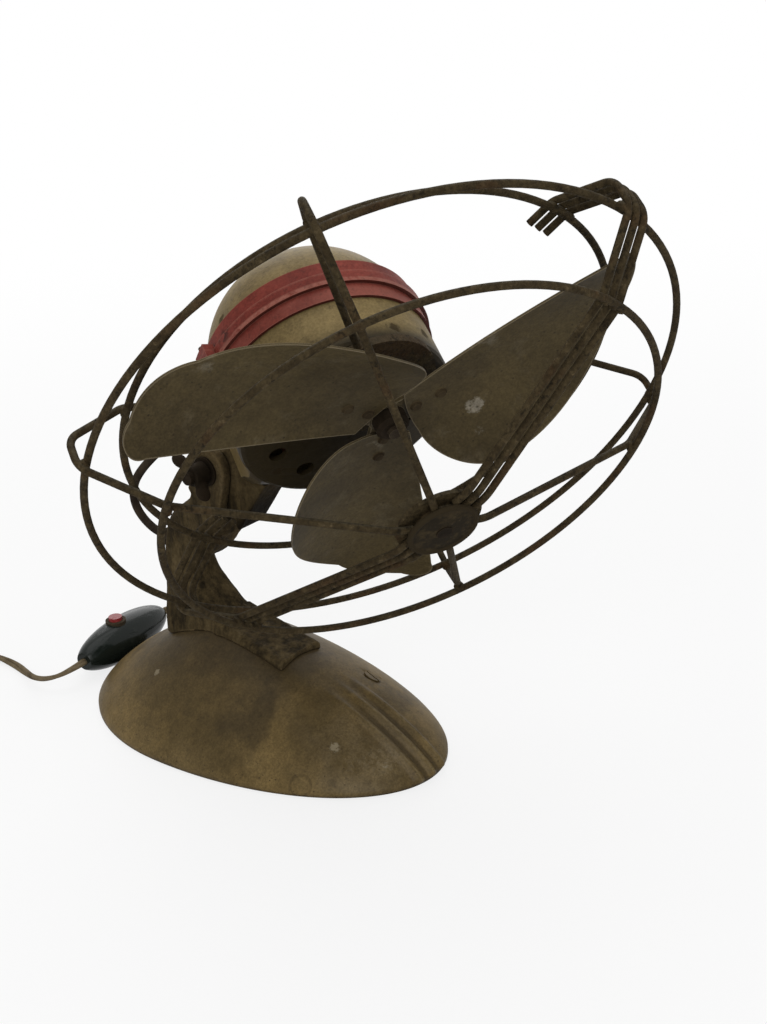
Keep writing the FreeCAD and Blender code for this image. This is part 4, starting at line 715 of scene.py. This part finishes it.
for v in shape.verts:
    x, y, z = v.co / MM
    if v.normal.z > -0.2:
        rib = sum(arch(x - RIB_PITCH * k, RIB_HALF) ** 2 for k in (-1, 0, 1)) * RIB_RISE
        fade = ease(y, -60.0, -90.0) * ease(z, 1.2, 3.5)
        place = Vector((x, y, z))
        dents = 0.10 * noise.noise(place * 0.045) + 0.05 * noise.noise(place * 0.15)
        seat = PLUG_SEAT * ease((v.co - plug_middle).length / MM, PLUG_EDGE, PLUG_FLAT)
        lift = (rib - VALLEY * arch(x, RIBS_REACH)) * fade + dents * ease(z, 2.0, 8.0) - seat
        v.co += v.normal * lift * MM
bmesh.ops.recalc_face_normals(shape, faces=shape.faces)
shape.to_mesh(casting.data)
shape.free()
casting.data.materials.append(base_enamel.material)
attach(casting, "stand")
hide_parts("base_shell")
print(len(casting.data.polygons), "faces in the base")

# %% [markdown]
# ## Cast pieces with softened edges
# The neck and the hinge block are rough castings with rounded edges and scale on them. A
# copy of each solid is remeshed into small even squares, smoothed, which rounds its
# edges, and roughened with noise. It is the quickest way to make machined shapes look cast.

# %% Neck and hinge block as rough castings


def melted(piece, voxel, rounds):
    """Takes an object away and gives its shape back, remeshed in voxels and smoothed some rounds."""
    remesh = piece.modifiers.new("even", "REMESH")
    remesh.mode = "VOXEL"
    remesh.voxel_size = voxel * MM
    soften = piece.modifiers.new("round", "SMOOTH")
    soften.factor = 0.5
    soften.iterations = rounds
    bpy.context.view_layer.update()
    graph = bpy.context.evaluated_depsgraph_get()
    made = bpy.data.meshes.new_from_object(piece.evaluated_get(graph))
    bpy.data.objects.remove(piece)
    shape = bmesh.new()
    shape.from_mesh(made)
    bpy.data.meshes.remove(made)
    return shape


def cast(name, node, voxel, rounds, rough, lumps):
    """A copy of a solid part with rounded edges and a rough skin, lumps to the millimetre."""
    shape = bmesh.new()
    shape.from_mesh(NODES[node].data)
    bmesh.ops.remove_doubles(shape, verts=shape.verts, dist=1e-6)
    shape = melted(finish_piece(name + "_copy", shape), voxel, rounds)
    shape.normal_update()
    for v in shape.verts:
        place = Vector((v.co.x, v.co.y, v.co.z * 0.4)) / MM * lumps
        v.co += v.normal * MM * rough * (noise.noise(place) + 0.6 * noise.noise(place * 3.1))
    piece = finish_piece(name, shape)
    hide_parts(node)
    return piece


neck_piece = cast("neck_casting", "neck", 0.52, 2, 0.26, 0.22)
neck_piece.data.materials.append(neck_enamel.material)
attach(neck_piece, "stand")
block_piece = cast("hinge_casting", "hinge_block", 0.5, 4, 0.10, 0.3)
block_piece.data.materials.append(hinge_enamel.material)
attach(block_piece, "tilt_block")
print(len(neck_piece.data.polygons), "and", len(block_piece.data.polygons), "faces in the castings")

# %% [markdown]
# ## The mains flex
# The flex leaves the base at the back, passes through the switch, lies on the table and
# is put away as a round coil. It is one smooth NURBS line through given points, so
# it bends like cable. The coil is more points of the same line: a little over ten turns
# that lie beside and on each other, shifting sideways or up in the last part of each turn.

# %% The route of the flex
SWITCH_AT = Vector((4.0, 92.2, 11.6))
SWITCH_TURN = math.radians(8.0)
GROMMET = Vector((40.0, 55.6, 10.0))
GROMMET_WAY = Vector((0.792, 0.610, 0.0))
COIL_AT = Vector((-66.0, 184.0, 9.3))
COIL_RADIUS = 24.0
LAYER = 4.15
PITCH = 4.2
switch_way = Vector((math.cos(SWITCH_TURN), math.sin(SWITCH_TURN), 0.0))


def along_switch(distance):
    return SWITCH_AT + switch_way * distance


route = [
    GROMMET - GROMMET_WAY * 4,
    GROMMET + GROMMET_WAY * 8,
    (57.3, 70.2, 6.8),
    (59.8, 81.9, 4.6),
    (54.2, 92.5, 6.8),
    along_switch(39.5),
    along_switch(29.0),
    along_switch(0.0),
    along_switch(-29.0),
    along_switch(-38.5),
    (-42.0, 89.8, 9.6),
    (-46.0, 97.3, 7.2),
    (-45.3, 107.5, 4.9),
    (-41.8, 118.5, 3.1),
    (-38.6, 130.5, 2.2),
    (-37.6, 143.5, 2.2),
    (-38.6, 157.0, 2.4),
]
# where each turn lies in the bundle: steps across and layers up from its middle
TURNS = [(0.5, -1.5), (-0.5, -1.5), (-1.5, -0.5), (-0.5, -0.5), (0.5, -0.5), (1.5, -0.5),
         (1.5, 0.5), (0.5, 0.5), (-0.5, 0.5), (-1.5, 0.5), (-0.5, 1.5)]
STEPS = 14  # points in a turn
START = math.radians(-28.0)
LAST = STEPS * 10 + 5
SHIFT_FROM = 0.72  # share of a turn after which it moves over to the next place
WOBBLE = 0.12
for k in range(LAST + 1):
    turn_now, share = divmod(k / STEPS, 1.0)
    here = TURNS[int(turn_now)]
    coming = TURNS[min(int(turn_now) + 1, len(TURNS) - 1)]
    shift = min(1.0, max(0.0, (share - SHIFT_FROM) / (1 - SHIFT_FROM)))
    across = (here[0] + (coming[0] - here[0]) * shift) * PITCH
    layer = (here[1] + (coming[1] - here[1]) * shift) * LAYER
    angle = START + 2 * math.pi * k / STEPS
    reach = COIL_RADIUS + across + WOBBLE * math.sin(2.3 * angle)
    route.append(COIL_AT + Vector((reach * math.cos(angle), reach * math.sin(angle), layer)))
route += [(-79.0, 207.5, 15.2), (-86.0, 208.0, 14.2), (-94.0, 208.0, 14.1)]
print(len(route), "points in the flex's route")

# %% Two strands side by side along the route


def smooth_line(name, points):
    """The points of a NURBS line that a route in millimetres guides, in metres."""
    line = bpy.data.curves.new(name, "CURVE")
    line.dimensions = "3D"
    line.resolution_u = 6
    spline = line.splines.new("NURBS")
    spline.points.add(len(points) - 1)
    for point, place in zip(spline.points, points):
        point.co = (*(Vector(place) * MM), 1.0)
    spline.use_endpoint_u = True
    spline.order_u = 3
    holder = bpy.data.objects.new(name, line)
    bpy.context.scene.collection.objects.link(holder)
    mesh = bpy.data.meshes.new_from_object(holder)
    places = [v.co.copy() for v in mesh.vertices]
    bpy.data.objects.remove(holder)
    bpy.data.meshes.remove(mesh)
    return places


def carried_frames(places):
    """For each place along a line, two directions across it that don't twist."""
    frames = []
    side = Vector((0, 0, 1))
    for k in range(len(places)):
        heading = (places[min(k + 1, len(places) - 1)] - places[max(k - 1, 0)]).normalized()
        side = (side - heading * side.dot(heading)).normalized()
        frames.append((side, heading.cross(side)))
    return frames


def rods(name, lines, radius, around=2, taper=None):
    """Round rods along lines of places, with closed ends.

    Taper gives each place its share of the radius.
    """
    line = bpy.data.curves.new(name, "CURVE")
    line.dimensions = "3D"
    line.bevel_depth = radius
    line.bevel_resolution = around
    line.use_fill_caps = True
    for places in lines:
        spline = line.splines.new("POLY")
        spline.points.add(len(places) - 1)
        for k, (point, place) in enumerate(zip(spline.points, places)):
            point.co = (*place, 1.0)
            point.radius = taper[k] if taper else 1.0
    holder = bpy.data.objects.new(name + "_line", line)
    bpy.context.scene.collection.objects.link(holder)
    shape = bmesh.new()
    made = bpy.data.meshes.new_from_object(holder)
    shape.from_mesh(made)
    bpy.data.objects.remove(holder)
    bpy.data.meshes.remove(made)
    bmesh.ops.remove_doubles(shape, verts=shape.verts, dist=1e-6)
    bmesh.ops.recalc_face_normals(shape, faces=shape.faces)
    return finish_piece(name, shape)


flex_places = smooth_line("flex_line", route)
STRAND, APART = 1.08 * MM, 0.92 * MM  # radius of a strand, and how far it lies off the middle
TWIST_LENGTH = 0.11
strands = ([], [])
travelled = 0.0
for k, (place, (side, other)) in enumerate(zip(flex_places, carried_frames(flex_places))):
    if k:
        travelled += (place - flex_places[k - 1]).length
    twist = 2 * math.pi * travelled / TWIST_LENGTH
    out = (side * math.cos(twist) + other * math.sin(twist)) * APART
    strands[0].append(place + out)
    strands[1].append(place - out)
flex = rods("mains_flex", strands, STRAND)
flex.data.materials.append(flex_jacket.material)
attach(flex, "stand")
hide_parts("cord_inner", "cord_outer", "cord_coil", "plug_tail")

# a tapered sleeve over the first stretch, with a collar where it leaves the base
RELIEF_LENGTH, RELIEF_RADIUS = 0.024, 2.9 * MM
COLLAR, COLLAR_SHARE, TAPER = 1.24, 0.22, 0.20
sleeve_places, covered = [flex_places[0]], 0.0
for before, after in zip(flex_places, flex_places[1:]):
    covered += (after - before).length
    if covered > RELIEF_LENGTH:
        break
    sleeve_places.append(after)
steps = len(sleeve_places) - 1
sleeve_taper = [COLLAR if k < steps * COLLAR_SHARE else 1.0 - TAPER * k / steps for k in range(steps + 1)]
relief = rods("strain_relief", [sleeve_places], RELIEF_RADIUS, 4, sleeve_taper)
relief.data.materials.append(rubber.material)
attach(relief, "stand")
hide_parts("cord_grommet")

# %% [markdown]
# ## The lead behind the neck
# A thin lead crosses both hinges on its way into the motor, and bends when the head
# moves. Here it is made in two pieces that meet at a given height: the upper one runs into
# the motor, the lower one down behind the neck.

# %% Lead in two pieces
lead_route = [
    (7.85, -28.6, 171.1), (10.0, -18.1, 165.8), (8.0, 2.0, 157.0), (0.0, 19.0, 146.0),
    (-7.0, 33.0, 132.0), (-9.0, 44.5, 121.5), (-9.3, 52.5, 111.5), (-7.5, 55.5, 100.0),
    (-4.8, 52.0, 90.5), (-3.0, 43.5, 85.0), (-3.0, 33.5, 85.0),
]
lead_places = smooth_line("lead_line", lead_route)
MEETING = 0.1555  # height where the two pieces meet
LEAD_RADIUS = 2.1 * MM
meet = min(range(len(lead_places)), key=lambda k: abs(lead_places[k].z - MEETING))
lead_upper = rods("lead_upper", [lead_places[:meet + 1]], LEAD_RADIUS, 14)
lead_lower = rods("lead_lower", [lead_places[meet:]], LEAD_RADIUS, 14)
for piece in (lead_upper, lead_lower):
    piece.data.materials.append(rubber.material)
    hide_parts("motor_lead")
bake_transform(lead_upper)
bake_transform(lead_lower)
print("lead length %.3f m" % sum((b - a).length for a, b in zip(lead_places, lead_places[1:])))

# %% [markdown]
# ## Welds
# Each wire of the guard is spot welded to three rings. A weld squeezes a little metal
# out, so a lump sits at every crossing. Each lump is a small sphere, flattened against
# the wires and pushed about by noise, and all of them are one mesh. One is larger.

# %% Welds at the guard's crossings
# the head's frame: tilted about the hinge, then turned about the swivel pin
TILT = math.radians(36.57)
SWIVEL = math.radians(-22.42)
HINGE_AT = (0.0, -5.13, 131.06)
SWIVEL_AHEAD = (0.0, -14.0, 0.0)
head = (Matrix.Translation(HINGE_AT) @ Matrix.Rotation(TILT, 4, "X")
        @ Matrix.Translation(SWIVEL_AHEAD) @ Matrix.Rotation(SWIVEL, 4, "Z"))
SHAFT_RISE = 107.65
SINGLES = [-170.5, 9.5, 129.5, -50.5]
TRIPLES = [66.4, 69.5, 72.6, -113.6, -110.5, -107.4]
CROSSINGS = [(100.9, -85.3), (124.9, -60.7), (103.4, -38.2)]  # reach and place of each ring
WELD_RADIUS, BIG_SIZE = 2.0, 1.45
BIG_WELD = (9.5, 124.9)


def guard_place(degrees, reach, ahead):
    """A place on the guard, in millimetres, from its angle, its reach and how far ahead it is."""
    angle = math.radians(degrees)
    return head @ Vector((reach * math.cos(angle), ahead, SHAFT_RISE + reach * math.sin(angle)))


shape = bmesh.new()
shaft_way = (head.to_3x3() @ Vector((0.0, 1.0, 0.0))).normalized()
for number, degrees in enumerate(SINGLES + TRIPLES):
    for reach, ahead in CROSSINGS:
        place = guard_place(degrees, reach, ahead) * MM
        outward = (guard_place(degrees, reach + 1, ahead) - guard_place(degrees, reach, ahead)).normalized()
        across = shaft_way.cross(outward)
        turned = Matrix((across, outward, shaft_way)).transposed().to_4x4()
        size = BIG_SIZE if (degrees, reach) == BIG_WELD else 1.0
        lump = Matrix.Translation(place) @ turned @ Matrix.Diagonal((1.15 * size, 0.85, 1.2 * size, 1.0))
        made = bmesh.ops.create_icosphere(shape, subdivisions=2, radius=WELD_RADIUS * MM, matrix=lump)
        for v in made["verts"]:
            v.co += (v.co - place) * 0.35 * noise.noise(v.co * 420.0 + Vector((number, 0.0, 0.0)))
welds = finish_piece("guard_welds", shape)
welds.data.materials.append(wire_rust.material)
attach(welds, "head")
print(len(SINGLES + TRIPLES) * len(CROSSINGS), "welds")

# %% [markdown]
# ## The badge
# A stamped disc closes the front of the guard. Its face is plain dark enamel in a rolled
# rim, slightly domed, with a rivet in the middle. A profile is spun about the shaft.

# %% Badge face
badge_finish = Finish("badge_face")
BADGE_RIM = 12.3
badge_centre = head @ Vector((0.0, -112.6, SHAFT_RISE))
wear = badge_finish.noise(170.0, 5.0, 0.7)
specks = badge_finish.noise(500.0, 4.0, 0.7)
colour = badge_finish.mix((0.018, 0.014, 0.009), (0.046, 0.034, 0.018), wear.over(0.44, 0.66) * 0.8)
colour = badge_finish.mix(colour, (0.075, 0.056, 0.034), specks.over(0.60, 0.74) * 0.6)
face = badge_finish.near(badge_centre, BADGE_RIM - 0.3, BADGE_RIM + 0.4)
colour = badge_finish.mix((0.027, 0.020, 0.011), colour, face)
badge_finish.put(Base_Color=colour, Roughness=0.68 + wear * 0.25 - face * 0.05,
                 Specular_IOR_Level=DULL * 0.8)
badge_finish.bump(wear * 0.5 + specks * 0.4, 0.0007, 0.7)
BADGE_PROFILE = [
    (0.0, -113.05), (5.0, -112.95), (9.5, -112.6), (11.6, -112.25), (12.2, -112.3), (12.7, -112.85),
    (13.4, -113.1), (14.1, -112.85), (14.5, -112.3), (14.5, -111.3), (14.2, -111.05), (0.0, -111.05),
]
shaft_frame = head @ Matrix.Translation((0.0, 0.0, SHAFT_RISE))
badge = spun("badge_face", BADGE_PROFILE, shaft_frame, (0, 1, 0), 96, 50)
badge.data.materials.append(badge_finish.material)
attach(badge, "head")
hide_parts("badge_disc")
print(len(badge.data.polygons), "faces in the badge")

# %% [markdown]
# ## The wing nut
# The wing nut that holds the tilt is a small casting: a boss with two rounded ears that
# flare away from the neck. Boss and ears are simple overlapping shapes that a voxel
# remesh melts into one, as they would be in a casting.

# %% Wing nut
NUT_FACE = 15.55
NUT_TURN = math.radians(-45.0)
# each ear is two lumps: outwards, across, then half its length, width and thickness
EAR = ((-5.4, 5.6, 3.4, 4.4, 2.1), (-7.3, 9.3, 3.7, 4.3, 1.9))
EAR_FLARE = 0.35
nut_frame = (Matrix.Translation((-NUT_FACE, HINGE_AT[1], HINGE_AT[2])) @ Matrix.Rotation(NUT_TURN, 4, "X"))
boss = Matrix.Translation((-4.0, 0, 0)) @ Matrix.Rotation(math.radians(-90.0), 4, "Y")
shape = bmesh.new()
bmesh.ops.create_cone(shape, cap_ends=True, segments=32, radius1=5.6, radius2=4.5, depth=7.8, matrix=boss)
for side in (-1, 1):
    for out, across, long, wide, thick in EAR:
        ear = (Matrix.Translation((out, 0, across * side)) @ Matrix.Rotation(side * -EAR_FLARE, 4, "Y")
               @ Matrix.Diagonal((long, thick, wide, 1.0)))
        bmesh.ops.create_icosphere(shape, subdivisions=3, radius=1.0, matrix=ear)
bmesh.ops.transform(shape, matrix=Matrix.Scale(MM, 4) @ nut_frame, verts=shape.verts)
shape = melted(finish_piece("nut_lumps", shape), 0.4, 6)
nut = finish_piece("wing_nut_casting", shape)
nut.data.materials.append(black_steel.material)
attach(nut, "nut")
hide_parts("wing_nut")
print(len(nut.data.polygons), "faces in the wing nut")

# %% [markdown]
# ## The plug
# A round two-pin plug of moulded plastic, turned in one piece: a neck for the flex, a
# bell and a ring to grip it by.

# %% Plug
PLUG_AT = (-92.0, 208.0, 14.1)
PLUG_PROFILE = [
    (0.0, 0.1), (3.2, 0.1), (4.3, 0.7), (4.9, 2.6), (5.4, 5.2), (7.0, 7.6), (10.2, 9.6),
    (12.8, 11.2), (13.7, 12.6), (13.9, 14.4), (13.7, 16.0), (13.1, 16.8), (13.1, 18.2),
    (13.7, 19.0), (13.9, 20.2), (13.9, 24.4), (13.5, 25.5), (12.6, 25.95), (0.0, 25.95),
]
plug_frame = Matrix.Translation(PLUG_AT) @ Matrix.Rotation(math.radians(90.0), 4, "Z")
plug = spun("plug_shell", PLUG_PROFILE, plug_frame, (0, 1, 0), 72, 40)
plug.data.materials.append(plug_plastic.material)
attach(plug, "stand")
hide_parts("plug_body")
print(len(plug.data.polygons), "faces in the plug")

# %% [markdown]
# ## What the flex is
# Last, a line notes that the flex ends in a plug.

# %% Facts about the flex
print("the flex ends in a plug")
